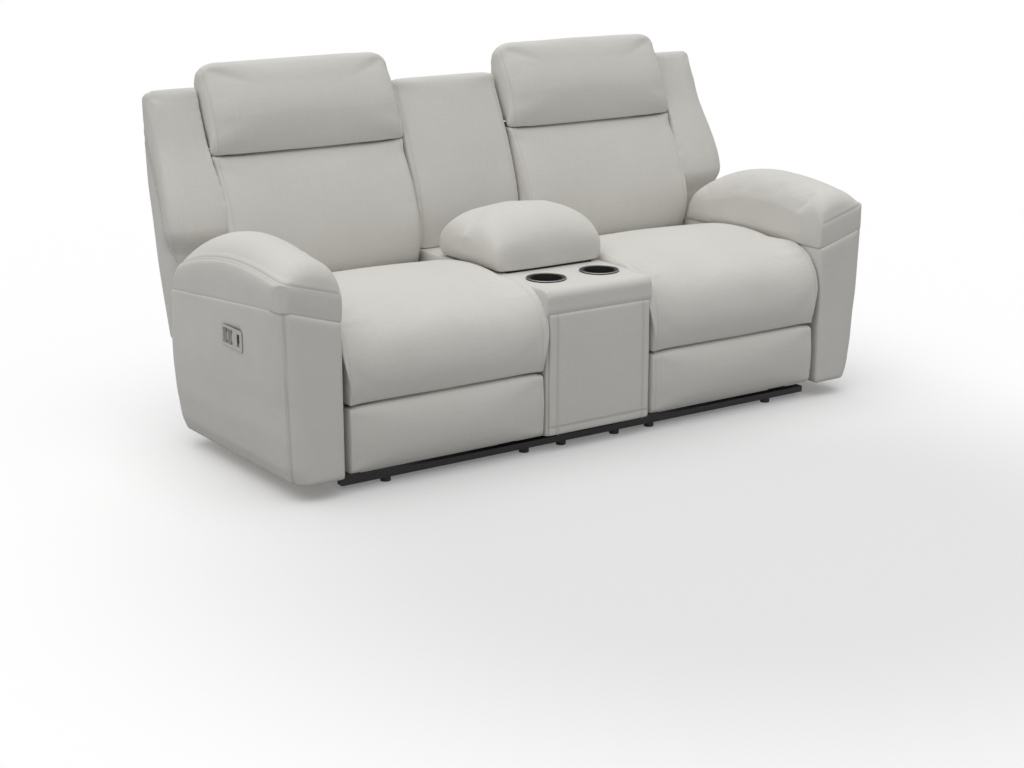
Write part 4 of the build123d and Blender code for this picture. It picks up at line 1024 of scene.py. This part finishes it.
class LOVESEAT_OT_wings(bpy.types.Operator):
    """Wing pads beside the back cushions, wrapped round the edges of the outer backs"""

    bl_idname = "loveseat.wings"
    bl_label = "Wings"

    def execute(self, context):
        def held(points, normals, low, high):
            return (normals[:, 1] > 0.5) | (points[:, 0] < low.x + WING_HELD_INNER)

        def side(points, normals):
            return (normals[:, 0] > 0.55).astype(float)

        def seams(low, high):
            depth, height = WING_SEAM_REAR
            across = (0, height - WING_SEAM_FRONT[1], WING_SEAM_FRONT[0] - depth)
            return [((0, depth + beside, height), across, side) for beside in (0, WING_SEAM_APART)]

        pair_of_pads(
            "wing_pad", "{}_back", held, seams, context.scene.loveseat_sizes, room=WIDE_PAD_ROOM,
            shape=self.shape, strength=0.4, offsets=(STITCH_BESIDE_SEAM,), slope=BACK_SLOPE,
        )
        return {"FINISHED"}

    @staticmethod
    def shape(points):
        """A full cheek above the arm, a lap on the back cushion and an outer edge wrapped to the rear."""
        low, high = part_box("right_wing_pad")
        back_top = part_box("right_back_pad")[1].z
        before = before_frame(points, "right_wing_pad")
        front = growing(before - WING_FRONT_START, WING_FRONT_BLEND)
        out = growing(points[:, 0] - low.x, high.x - low.x)
        heights = (WING_CHEEK_FOOT, WING_CHEEK_FULL, WING_CHEEK_TOP)
        cheek = eased(np.interp(points[:, 2], heights, (0, 1, 0))) * front
        inner = fading(points[:, 0] - low.x, WING_LAP_REACH)
        below = growing(back_top - WING_LAP_START - points[:, 2], WING_LAP_BLEND)
        above = fading(high.z - points[:, 2], WING_RISE_REACH)
        wrap = growing(points[:, 0] - high.x + WING_WRAP, WING_WRAP_BLEND)
        rear = fading(before, WING_WRAP_DEPTH)
        moved = points.copy()
        moved[:, 0] += WING_CHEEK_OUT * cheek * out - WING_LAP * inner * below * front
        moved[:, 1] -= WING_CHEEK * cheek
        moved[:, 1] += outer_back_thickness(points[:, 2]) * eased(wrap) * rear
        moved[:, 2] += WING_RISE * above
        return narrow_foot(moved)


def arm_joint_shift(points):
    """How far the joint between an arm's pad and panel lies above the panel's flat top, at some points."""
    low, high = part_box("right_arm_pad")
    out = growing(np.abs(points[:, 0]) - low.x, high.x - low.x)
    back = growing(points[:, 1] - low.y, high.y - low.y)
    front = JOINT_FRONT_INNER + (JOINT_FRONT_OUTER - JOINT_FRONT_INNER) * out
    rear = JOINT_REAR_INNER + (JOINT_REAR_OUTER - JOINT_REAR_INNER) * out
    return front * (1 - back) + rear * back


def slant_joint(points):
    """Slants the joint between pad and panel, most at the joint and fading out above and below it."""
    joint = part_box("right_arm_pad")[0].z
    near = fading(np.abs(points[:, 2] - joint), JOINT_FADE)
    moved = points.copy()
    moved[:, 2] += arm_joint_shift(points) * eased(near)
    return moved


class LOVESEAT_OT_arm_pads(bpy.types.Operator):
    """Arched arm pads with a border strip round the outside"""

    bl_idname = "loveseat.arm_pads"
    bl_label = "Arm pads"

    def execute(self, context):
        def held(points, normals, low, high):
            return normals[:, 2] < -0.6

        def shown(points, normals):
            return ((normals[:, 2] > -0.5) & (normals[:, 0] > -0.3)).astype(float)

        def seams(low, high):
            tilt = ARM_SEAM_FALL / (high.x - low.x)

            def arch(points):
                back = growing(points[:, 1] - low.y, high.y - low.y)
                return ARM_SEAM_ARCH * np.sin(math.pi * back)

            return [((high.x, low.y, ARM_SEAM_OUTER), (-tilt, ARM_SEAM_SLOPE, 1), shown, arch)]

        low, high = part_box("right_arm_pad")
        seam = seams(low, high)[0]

        def shape(points):
            foot = fading(points[:, 2] - low.z, ARM_PAD_FOOT)
            moved = slant_joint(points)
            below = growing(ARM_BOX_BLEND / 2 - plane_distance(moved, seam), ARM_BOX_BLEND)
            side = np.clip(high.x - moved[:, 0], 0, ARM_BOX_REACH)
            ahead = np.clip(moved[:, 1] - low.y, 0, ARM_BOX_REACH)
            moved[:, 0] += side * (1 - side / ARM_BOX_REACH) ** 2 * below
            moved[:, 1] -= ahead * (1 - ahead / ARM_BOX_REACH) ** 2 * below
            inward, rearward = rounded(high.x - moved[:, 0], moved[:, 1] - low.y, ARM_CORNER)
            moved[:, 0] -= inward
            moved[:, 1] += rearward
            moved[:, 2] -= ARM_PAD_SETTLE * foot
            return moved

        pair_of_pads(
            "arm_pad", "base", held, seams, context.scene.loveseat_sizes, room=WIDE_PAD_ROOM,
            shape=shape, strength=0.45, offsets=(-STITCH_BESIDE_SEAM,),
        )
        return {"FINISHED"}


def stretched_cover(node, name, spacing, bulge, seams, sizes, strength, shape=None, filler=None):
    """A cover stretched over a padded board: rounded edges, a slight crown and creased seams."""
    piece = remeshed_copy(node, name, spacing, filler)
    relax(piece, rounds=5)
    points = points_of(piece.data)
    normals = normals_of(piece.data)
    if shape:
        points = shape(points)
    place_points(piece.data, points + normals * bulge(points, normals)[:, None])
    crease(piece, seams, sizes, strength)
    shade_smooth(piece.data)
    return piece


def settle(piece, nodes, body):
    """Attaches a stretched cover to its body and hides the nodes that it stands for."""
    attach(piece, body)
    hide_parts(*nodes)


def settle_pair(piece, part, body, seams):
    """Sews a right hand cover and its mirrored left hand one, attaches each to its body and hides their nodes.
    """
    other = mirrored(piece, piece.name.replace("right", "left"))
    for made, side, lines in ((piece, "right", seams), (other, "left", [side_seam(s) for s in seams])):
        sew(made, body.format(side), lines, (STITCH_BESIDE_SEAM,))
        settle(made, [f"{side}_{part}"], body.format(side))


def arm_form(points):
    """The slanted joint, and an outer side that stands in at its lower front and out at its lower rear."""
    low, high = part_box("right_arm_panel")
    down = growing(high.z - ARM_FOOT_START - points[:, 2], ARM_FOOT_BLEND)
    out = growing(points[:, 0] - low.x, high.x - low.x)
    along = 2 * (points[:, 1] - low.y) / (high.y - low.y) - 1
    turn = np.where(along < 0, ARM_FOOT_FRONT, ARM_FOOT_REAR) * along
    moved = slant_joint(points)
    moved[:, 0] += turn * out * down
    return moved


class LOVESEAT_OT_arm_panels(bpy.types.Operator):
    """Upholstered arm panels with sewn front corners"""

    bl_idname = "loveseat.arm_panels"
    bl_label = "Arm panels"

    def execute(self, context):
        sizes = context.scene.loveseat_sizes
        low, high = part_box("right_arm_panel")
        middle = (low + high) / 2
        half = (high - low) / 2

        def bulge(points, normals):
            up = (points[:, 2] - middle.z) / half.z
            along = (points[:, 1] - middle.y) / half.y
            crown = np.clip(1 - up ** 2, 0, 1) * np.clip(1 - along ** 4, 0, 1)
            return ARM_BULGE * crown * (normals[:, 0] > 0.6)

        corner = (high.x - ARM_FRONT_SEAM[0], low.y + ARM_FRONT_SEAM[1], 0)
        rear = (high.x - ARM_REAR_SEAM[0], high.y - ARM_REAR_SEAM[1], 0)

        def front_part(points, normals):
            return ((points[:, 1] < middle.y) & (points[:, 0] > middle.x)).astype(float)

        def rear_part(points, normals):
            return ((points[:, 1] > middle.y) & (points[:, 0] > middle.x)).astype(float)

        seams = [(corner, (1, 1, 0), front_part), (rear, (1, -1, 0), rear_part)]
        plate_low, plate_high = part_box("right_switch_plate")
        filler = (
            Vector((plate_low.x, plate_low.y + POCKET_MARGIN, plate_low.z + POCKET_MARGIN)),
            Vector((high.x - POCKET_DEPTH, plate_high.y - POCKET_MARGIN, plate_high.z - POCKET_MARGIN)),
        )
        piece = stretched_cover(
            "right_arm_panel", "right_arm_panel_cover", sizes.panel_voxel, bulge, seams, sizes,
            strength=0.35, shape=arm_form, filler=filler,
        )
        settle_pair(piece, "arm_panel", "base", seams)
        return {"FINISHED"}


class LOVESEAT_OT_back_covers(bpy.types.Operator):
    """Outer backs with a seam beside each edge"""

    bl_idname = "loveseat.back_covers"
    bl_label = "Outer backs"

    def execute(self, context):
        sizes = context.scene.loveseat_sizes
        low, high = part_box("right_back_cover")

        def bulge(points, normals):
            return OUTER_BACK_BULGE * (normals[:, 1] > 0.5)

        def shown(points, normals):
            return (normals[:, 1] > 0.4).astype(float)

        def shape(points):
            near = fading(high.x - points[:, 0], OUTER_BACK_TUCK_REACH)
            top = fading(high.z - points[:, 2], OUTER_BACK_TUCK_REACH)
            wing = fading(high.x - points[:, 0], OUTER_BACK_TUCK_SIDE)
            moved = narrow_foot(points)
            moved[:, 0] -= OUTER_BACK_TUCK * near
            moved[:, 2] -= OUTER_BACK_TUCK * top * wing
            return moved

        seams = edge_seams(COVER_SEAM + OUTER_BACK_TUCK, shown)(low, high)
        piece = stretched_cover(
            "right_back_cover", "right_outer_back", sizes.back_voxel, bulge, seams, sizes,
            strength=0.3, shape=shape,
        )
        settle_pair(piece, "back_cover", "{}_back", seams)
        return {"FINISHED"}


class LOVESEAT_OT_centre_back(bpy.types.Operator):
    """Fixed back between the two seats"""

    bl_idname = "loveseat.centre_back"
    bl_label = "Centre back"

    def execute(self, context):
        sizes = context.scene.loveseat_sizes
        node = "centre_back_pad"

        def held(points, normals, low, high):
            return (normals[:, 2] < -0.6) | (np.abs(normals[:, 0]) > 0.8)

        seams = edge_seams(EDGE_SEAM, everywhere)
        piece = pad(node, "centre_back_cover", held, seams, sizes)
        dress(piece, node, "base", seams(*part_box(node)), sizes, seed=3)
        return {"FINISHED"}


class LOVESEAT_OT_lid(bpy.types.Operator):
    """Padded console lid, a full pillow"""

    bl_idname = "loveseat.lid"
    bl_label = "Console lid"

    def execute(self, context):
        sizes = context.scene.loveseat_sizes
        node = "lid_pad"

        def held(points, normals, low, high):
            return normals[:, 2] < -0.6

        low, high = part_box(node)

        def seams(low, high):
            return []

        def shape(points):
            up = growing(points[:, 2] - low.z, high.z - low.z)
            moved = points.copy()
            moved[:, 0] *= 1 + LID_BULGE / high.x * (1 - (2 * up - 1) ** 2)
            return moved

        piece = pad(node, "lid_cover", held, seams, sizes, shape=shape)
        dress(piece, node, "lid", [], sizes, seed=4)
        return {"FINISHED"}


class LOVESEAT_OT_console(bpy.types.Operator):
    """Upholstered console box and its front panel with sewn borders"""

    bl_idname = "loveseat.console"
    bl_label = "Console"

    def execute(self, context):
        sizes = context.scene.loveseat_sizes
        low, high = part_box("console_body")

        def flat(points, normals):
            return np.zeros(len(points))

        def deck(points, normals):
            return ((normals[:, 2] > 0.5) & (points[:, 2] > high.z - DECK_DEPTH)).astype(float)

        panel_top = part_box("console_front_panel")[1].z

        def shape(points):
            brow = growing(points[:, 2] - panel_top + BROW_BLEND / 2, BROW_BLEND)
            front = growing(low.y + BROW_START - points[:, 1], BROW_DEPTH_BLEND)
            moved = points.copy()
            moved[:, 1] -= CONSOLE_FLUSH * brow * front
            centre = np.array((low.y - CONSOLE_FLUSH + CONSOLE_ROLL, high.z - CONSOLE_ROLL))
            away = moved[:, 1:] - centre
            reach = np.linalg.norm(away, axis=1)
            proud = (away[:, 0] < 0) & (away[:, 1] > 0) & (reach > CONSOLE_ROLL)
            moved[proud, 1:] = centre + away[proud] * (CONSOLE_ROLL / reach[proud])[:, None]
            return moved

        seams = edge_seams(EDGE_SEAM, deck)(low, high)
        body = stretched_cover(
            "console_body", "console_cover", sizes.panel_voxel, flat, seams, sizes, strength=0.2, shape=shape,
        )
        settle(body, ["console_body"], "base")

        low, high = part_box("console_front_panel")
        half = (high - low) / 2
        middle = (high + low) / 2

        def bulge(points, normals):
            across = (points[:, 0] - middle.x) / half.x
            up = (points[:, 2] - middle.z) / half.z
            crown = np.clip((1 - across ** 4) * (1 - up ** 4), 0, 1)
            return PANEL_BULGE * crown * (normals[:, 1] < -0.5)

        def front(points, normals):
            return (normals[:, 1] < -0.4).astype(float)

        seams = edge_seams(PANEL_BORDER, front)(low, high)
        seams.append(((0, 0, low.z + PANEL_BORDER), (0, 0, 1), front))
        panel = stretched_cover(
            "console_front_panel", "console_front_cover", PANEL_SPACING, bulge, seams, sizes, strength=0.3,
        )
        sew(panel, "base", seams, (STITCH_BESIDE_SEAM,))
        settle(panel, ["console_front_panel"], "base")
        return {"FINISHED"}


def revolved(name, centre, outline, steps, material):
    """A closed round piece: an outline of radius and height turned about an upright axis."""
    points = []
    faces = []
    count = len(outline)
    for step in range(steps):
        angle = 2 * math.pi * step / steps
        for radius, height in outline:
            across = centre[0] + radius * math.cos(angle)
            along = centre[1] + radius * math.sin(angle)
            points.append((across, along, height))
    for step in range(steps):
        here = step * count
        there = (step + 1) % steps * count
        for i in range(count):
            j = (i + 1) % count
            faces.append((here + i, there + i, there + j, here + j))
    mesh = bpy.data.meshes.new(name)
    mesh.from_pydata(points, [], faces)
    shade_smooth(mesh)
    return new_piece(name, mesh, material)


class LOVESEAT_OT_cup_holders(bpy.types.Operator):
    """Black cups with bright rolled rims"""

    bl_idname = "loveseat.cup_holders"
    bl_label = "Cup holders"

    def execute(self, context):
        give_finish(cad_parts["cup_holders"].data, "moulded_black_abs")
        low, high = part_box("cup_holders")
        reach = (high.y - low.y) / 2
        middle = (high.y + low.y) / 2
        turns = [2 * math.pi * i / RIM_SIDES for i in range(RIM_SIDES)]
        outline = [
            (reach - RIM_TUBE + RIM_TUBE * math.cos(t), high.z + RIM_TUBE * math.sin(t)) for t in turns
        ]
        for side, sign in SIDES:
            centre = (sign * (high.x - reach), middle)
            rim = revolved(side + "_cup_rim", centre, outline, RIM_STEPS, "brushed_nickel_plate")
            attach(rim, "base")
        return {"FINISHED"}


FINISH_OF_NODES = {
    "moulded_black_abs": (
        "glide_feet", "back_motors", "footrest_actuators", "power_supply", "storage_bin",
    ),
    "moulded_grey_abs": (
        "left_recline_rocker", "left_headrest_rocker", "right_recline_rocker", "right_headrest_rocker",
    ),
    "brushed_nickel_plate": ("left_switch_plate", "right_switch_plate"),
    "zinc_plated_steel": (
        "lid_hinge_base", "lid_hinge_leaf", "seat_springs",
        "left_rear_links", "right_rear_links", "left_front_links", "right_front_links",
        "left_control_links", "right_control_links", "left_back_rod", "right_back_rod",
        "left_footrest_brackets", "right_footrest_brackets",
    ),
    "black_enamelled_steel": (
        "base_rails", "mechanism_plates", "left_drive_links", "right_drive_links",
        "left_drive_carriage", "right_drive_carriage", "left_headrest_plate", "right_headrest_plate",
    ),
    "rotary_cut_plywood": ("arm_frames", "seat_boards"),
    "spunbonded_lining": (
        "left_back_frame", "right_back_frame", "left_footrest_board", "right_footrest_board", "lid_board",
    ),
}


class LOVESEAT_OT_frame_finishes(bpy.types.Operator):
    """Finishes of the boards, the mechanism and the moulded pieces"""

    bl_idname = "loveseat.frame_finishes"
    bl_label = "Frame finishes"

    def execute(self, context):
        for material, nodes in FINISH_OF_NODES.items():
            for node in nodes:
                give_finish(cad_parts[node].data, material)
        return {"FINISHED"}


def stitch_tree():
    """Nodes that lay short threads along a line at an even pitch."""
    tree = bpy.data.node_groups.new("Stitches", "GeometryNodeTree")
    face = tree.interface
    face.new_socket("Geometry", in_out="INPUT", socket_type="NodeSocketGeometry")
    for name in ("Pitch", "Length", "Radius"):
        face.new_socket(name, in_out="INPUT", socket_type="NodeSocketFloat")
    face.new_socket("Thread", in_out="INPUT", socket_type="NodeSocketMaterial")
    face.new_socket("Geometry", in_out="OUTPUT", socket_type="NodeSocketGeometry")
    given = add(tree, "NodeGroupInput")
    line = add(tree, "GeometryNodeMeshToCurve", links={"Mesh": given.outputs["Geometry"]})
    spaced = add(
        tree, "GeometryNodeResampleCurve",
        links={"Curve": line.outputs[0], "Length": given.outputs["Pitch"]}, mode="LENGTH",
    )
    along = add(tree, "GeometryNodeInputTangent")
    turn = add(tree, "FunctionNodeAlignRotationToVector", links={"Vector": along.outputs[0]}, axis="Z")
    thread = add(
        tree, "GeometryNodeMeshCylinder", {"Vertices": 6},
        {"Radius": given.outputs["Radius"], "Depth": given.outputs["Length"]},
    )
    laid = add(
        tree, "GeometryNodeInstanceOnPoints",
        links={"Points": spaced.outputs[0], "Instance": thread.outputs[0], "Rotation": turn.outputs[0]},
    )
    real = add(tree, "GeometryNodeRealizeInstances", links={"Geometry": laid.outputs[0]})
    coloured = add(
        tree, "GeometryNodeSetMaterial",
        links={"Geometry": real.outputs[0], "Material": given.outputs["Thread"]},
    )
    add(tree, "NodeGroupOutput", links={"Geometry": coloured.outputs[0]})
    return tree


class LOVESEAT_OT_stitching(bpy.types.Operator):
    """Top stitching beside the seams, one piece for each body"""

    bl_idname = "loveseat.stitching"
    bl_label = "Stitching"

    def execute(self, context):
        sizes = context.scene.loveseat_sizes
        tree = stitch_tree()
        keys = {item.name: item.identifier for item in tree.interface.items_tree if item.in_out == "INPUT"}
        for body, lines in stitch_lines.items():
            points = []
            edges = []
            for places, pairs in lines:
                edges += [(int(a) + len(points), int(b) + len(points)) for a, b in pairs]
                points += [tuple(p) for p in places]
            mesh = bpy.data.meshes.new(body + "_stitches")
            mesh.from_pydata(points, edges, [])
            piece = new_piece(body + "_stitches", mesh, THREAD)
            sewing = piece.modifiers.new("Stitches", "NODES")
            sewing.node_group = tree
            sewing[keys["Pitch"]] = sizes.stitch_pitch
            sewing[keys["Length"]] = sizes.stitch_length
            sewing[keys["Radius"]] = sizes.stitch_radius
            sewing[keys["Thread"]] = finish(THREAD)
            evaluated(piece)
            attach(piece, body)
        return {"FINISHED"}


class LOVESEAT_OT_stage(bpy.types.Operator):
    """Pale studio floor, soft overhead light and the photograph's camera"""

    bl_idname = "loveseat.stage"
    bl_label = "Stage"

    def execute(self, context):
        scene = context.scene
        mesh = bpy.data.meshes.new("studio_floor")
        corners = [
            (across * FLOOR_REACH, along * FLOOR_REACH, 0)
            for across, along in ((-1, -1), (1, -1), (1, 1), (-1, 1))
        ]
        mesh.from_pydata(corners, [], [(0, 1, 2, 3)])
        floor = bpy.data.objects.new("studio_floor", mesh)
        scene.collection.objects.link(floor)
        mesh.materials.append(self.floor_paint(scene.loveseat_finishes))

        world = bpy.data.worlds.new("studio")
        world.use_nodes = True
        world.node_tree.nodes.clear()
        seen = self.seen_rays(world.node_tree)
        level = add(
            world.node_tree, "ShaderNodeMapRange", {"To Min": SKY_LIGHT, "To Max": SKY_SEEN},
            {"Value": seen.outputs[0]},
        )
        sky = add(
            world.node_tree, "ShaderNodeBackground", {"Color": (1, 1, 1, 1)}, {"Strength": level.outputs[0]},
        )
        add(world.node_tree, "ShaderNodeOutputWorld", links={"Surface": sky.outputs[0]})
        scene.world = world

        lamp = bpy.data.lights.new("overhead_softbox", "SUN")
        lamp.energy = SUN_STRENGTH
        lamp.angle = SUN_SPREAD
        light = bpy.data.objects.new("overhead_softbox", lamp)
        light.rotation_euler = SUN_TILT
        scene.collection.objects.link(light)

        lens = bpy.data.cameras.new("photo_camera")
        lens.lens = CAMERA_LENS_MM
        lens.sensor_width = SENSOR_MM
        camera = bpy.data.objects.new("photo_camera", lens)
        camera.location = CAMERA_PLACE
        camera.rotation_euler = Vector(CAMERA_AIM).to_track_quat("-Z", "Y").to_euler()
        scene.collection.objects.link(camera)
        scene.camera = camera
        scene.view_settings.view_transform = "Standard"
        return {"FINISHED"}

    @staticmethod
    def seen_rays(tree):
        """One where a ray comes from the camera, a mirror or glass, so that those see the pale studio."""
        path = add(tree, "ShaderNodeLightPath")
        seen = add(
            tree, "ShaderNodeMath",
            links={0: path.outputs["Is Camera Ray"], 1: path.outputs["Is Glossy Ray"]}, operation="MAXIMUM",
        )
        return add(
            tree, "ShaderNodeMath",
            links={0: seen.outputs[0], 1: path.outputs["Is Transmission Ray"]}, operation="MAXIMUM",
        )

    def floor_paint(self, finishes):
        """White studio floor with a painted shadow, a grey patch in front of the seats; it glows a little,
        painted light that lifts its shadows, and lights little from below.
        """
        material = bpy.data.materials.new("white_studio_paint")
        material.use_nodes = True
        tree = material.node_tree
        tree.nodes.clear()
        place = add(tree, "ShaderNodeTexCoord")
        # Painted shadow: the floor turns grey near a spot in front of the seats, in place of their soft
        # shadow.
        away = add(
            tree, "ShaderNodeVectorMath", {1: PAINTED_SHADOW_CENTRE}, {0: place.outputs["Object"]},
            operation="DISTANCE",
        )
        outside_painted_shadow = add(
            tree, "ShaderNodeMapRange", {"From Min": PAINTED_SHADOW_INNER, "From Max": PAINTED_SHADOW_OUTER},
            {"Value": away.outputs["Value"]}, interpolation_type="SMOOTHSTEP",
        )
        floor_colour_with_painted_shadow = add(tree, "ShaderNodeMix", links={"Factor": outside_painted_shadow.outputs[0]}, data_type="RGBA")
        floor_colour_with_painted_shadow.inputs[6].default_value = (*finishes.pool, 1.0)
        floor_colour_with_painted_shadow.inputs[7].default_value = (*finishes.floor, 1.0)
        matte = add(tree, "ShaderNodeBsdfDiffuse", links={"Color": floor_colour_with_painted_shadow.outputs[2]})
        # Painted light: part of the floor's colour glows, which lifts the shadows cast on it.
        glow = add(tree, "ShaderNodeEmission", links={"Color": floor_colour_with_painted_shadow.outputs[2]})
        shown = add(tree, "ShaderNodeMixShader", {0: FLOOR_GLOW}, {1: matte.outputs[0], 2: glow.outputs[0]})
        bounce = add(tree, "ShaderNodeBsdfDiffuse", {"Color": (*[FLOOR_BOUNCE] * 3, 1.0)})
        both = add(
            tree, "ShaderNodeMixShader",
            links={0: self.seen_rays(tree).outputs[0], 1: bounce.outputs[0], 2: shown.outputs[0]},
        )
        add(tree, "ShaderNodeOutputMaterial", links={"Surface": both.outputs[0]})
        return material


PIECE_OPERATORS = (
    LOVESEAT_OT_seat_cushions,
    LOVESEAT_OT_footrest_pads,
    LOVESEAT_OT_back_pads,
    LOVESEAT_OT_headrests,
    LOVESEAT_OT_wings,
    LOVESEAT_OT_arm_pads,
    LOVESEAT_OT_arm_panels,
    LOVESEAT_OT_back_covers,
    LOVESEAT_OT_centre_back,
    LOVESEAT_OT_lid,
    LOVESEAT_OT_console,
    LOVESEAT_OT_cup_holders,
    LOVESEAT_OT_frame_finishes,
    LOVESEAT_OT_stitching,
    LOVESEAT_OT_stage,
)


class LOVESEAT_PT_sidebar(bpy.types.Panel):
    """The loveseat's sizes, colours and pieces"""

    bl_idname = "LOVESEAT_PT_sidebar"
    bl_label = "Loveseat"
    bl_space_type = "VIEW_3D"
    bl_region_type = "UI"
    bl_category = "Loveseat"

    def draw(self, context):
        for group in (context.scene.loveseat_sizes, context.scene.loveseat_finishes):
            column = self.layout.column()
            for name in group.__annotations__:
                column.prop(group, name)
        for operator in PIECE_OPERATORS:
            self.layout.operator(operator.bl_idname)


CLASSES = (LoveseatSizes, LoveseatFinishes, *PIECE_OPERATORS, LOVESEAT_PT_sidebar)


def register():
    """Adds the classes and the scene's settings."""
    for kind in CLASSES:
        bpy.utils.register_class(kind)
    bpy.types.Scene.loveseat_sizes = bpy.props.PointerProperty(type=LoveseatSizes)
    bpy.types.Scene.loveseat_finishes = bpy.props.PointerProperty(type=LoveseatFinishes)


def unregister():
    """Removes them again."""
    del bpy.types.Scene.loveseat_finishes
    del bpy.types.Scene.loveseat_sizes
    for kind in reversed(CLASSES):
        bpy.utils.unregister_class(kind)


def main():
    """Makes every piece."""
    register()
    for operator in PIECE_OPERATORS:
        group, name = operator.bl_idname.split(".")
        getattr(getattr(bpy.ops, group), name)()


if __name__ == "__main__":
    main()
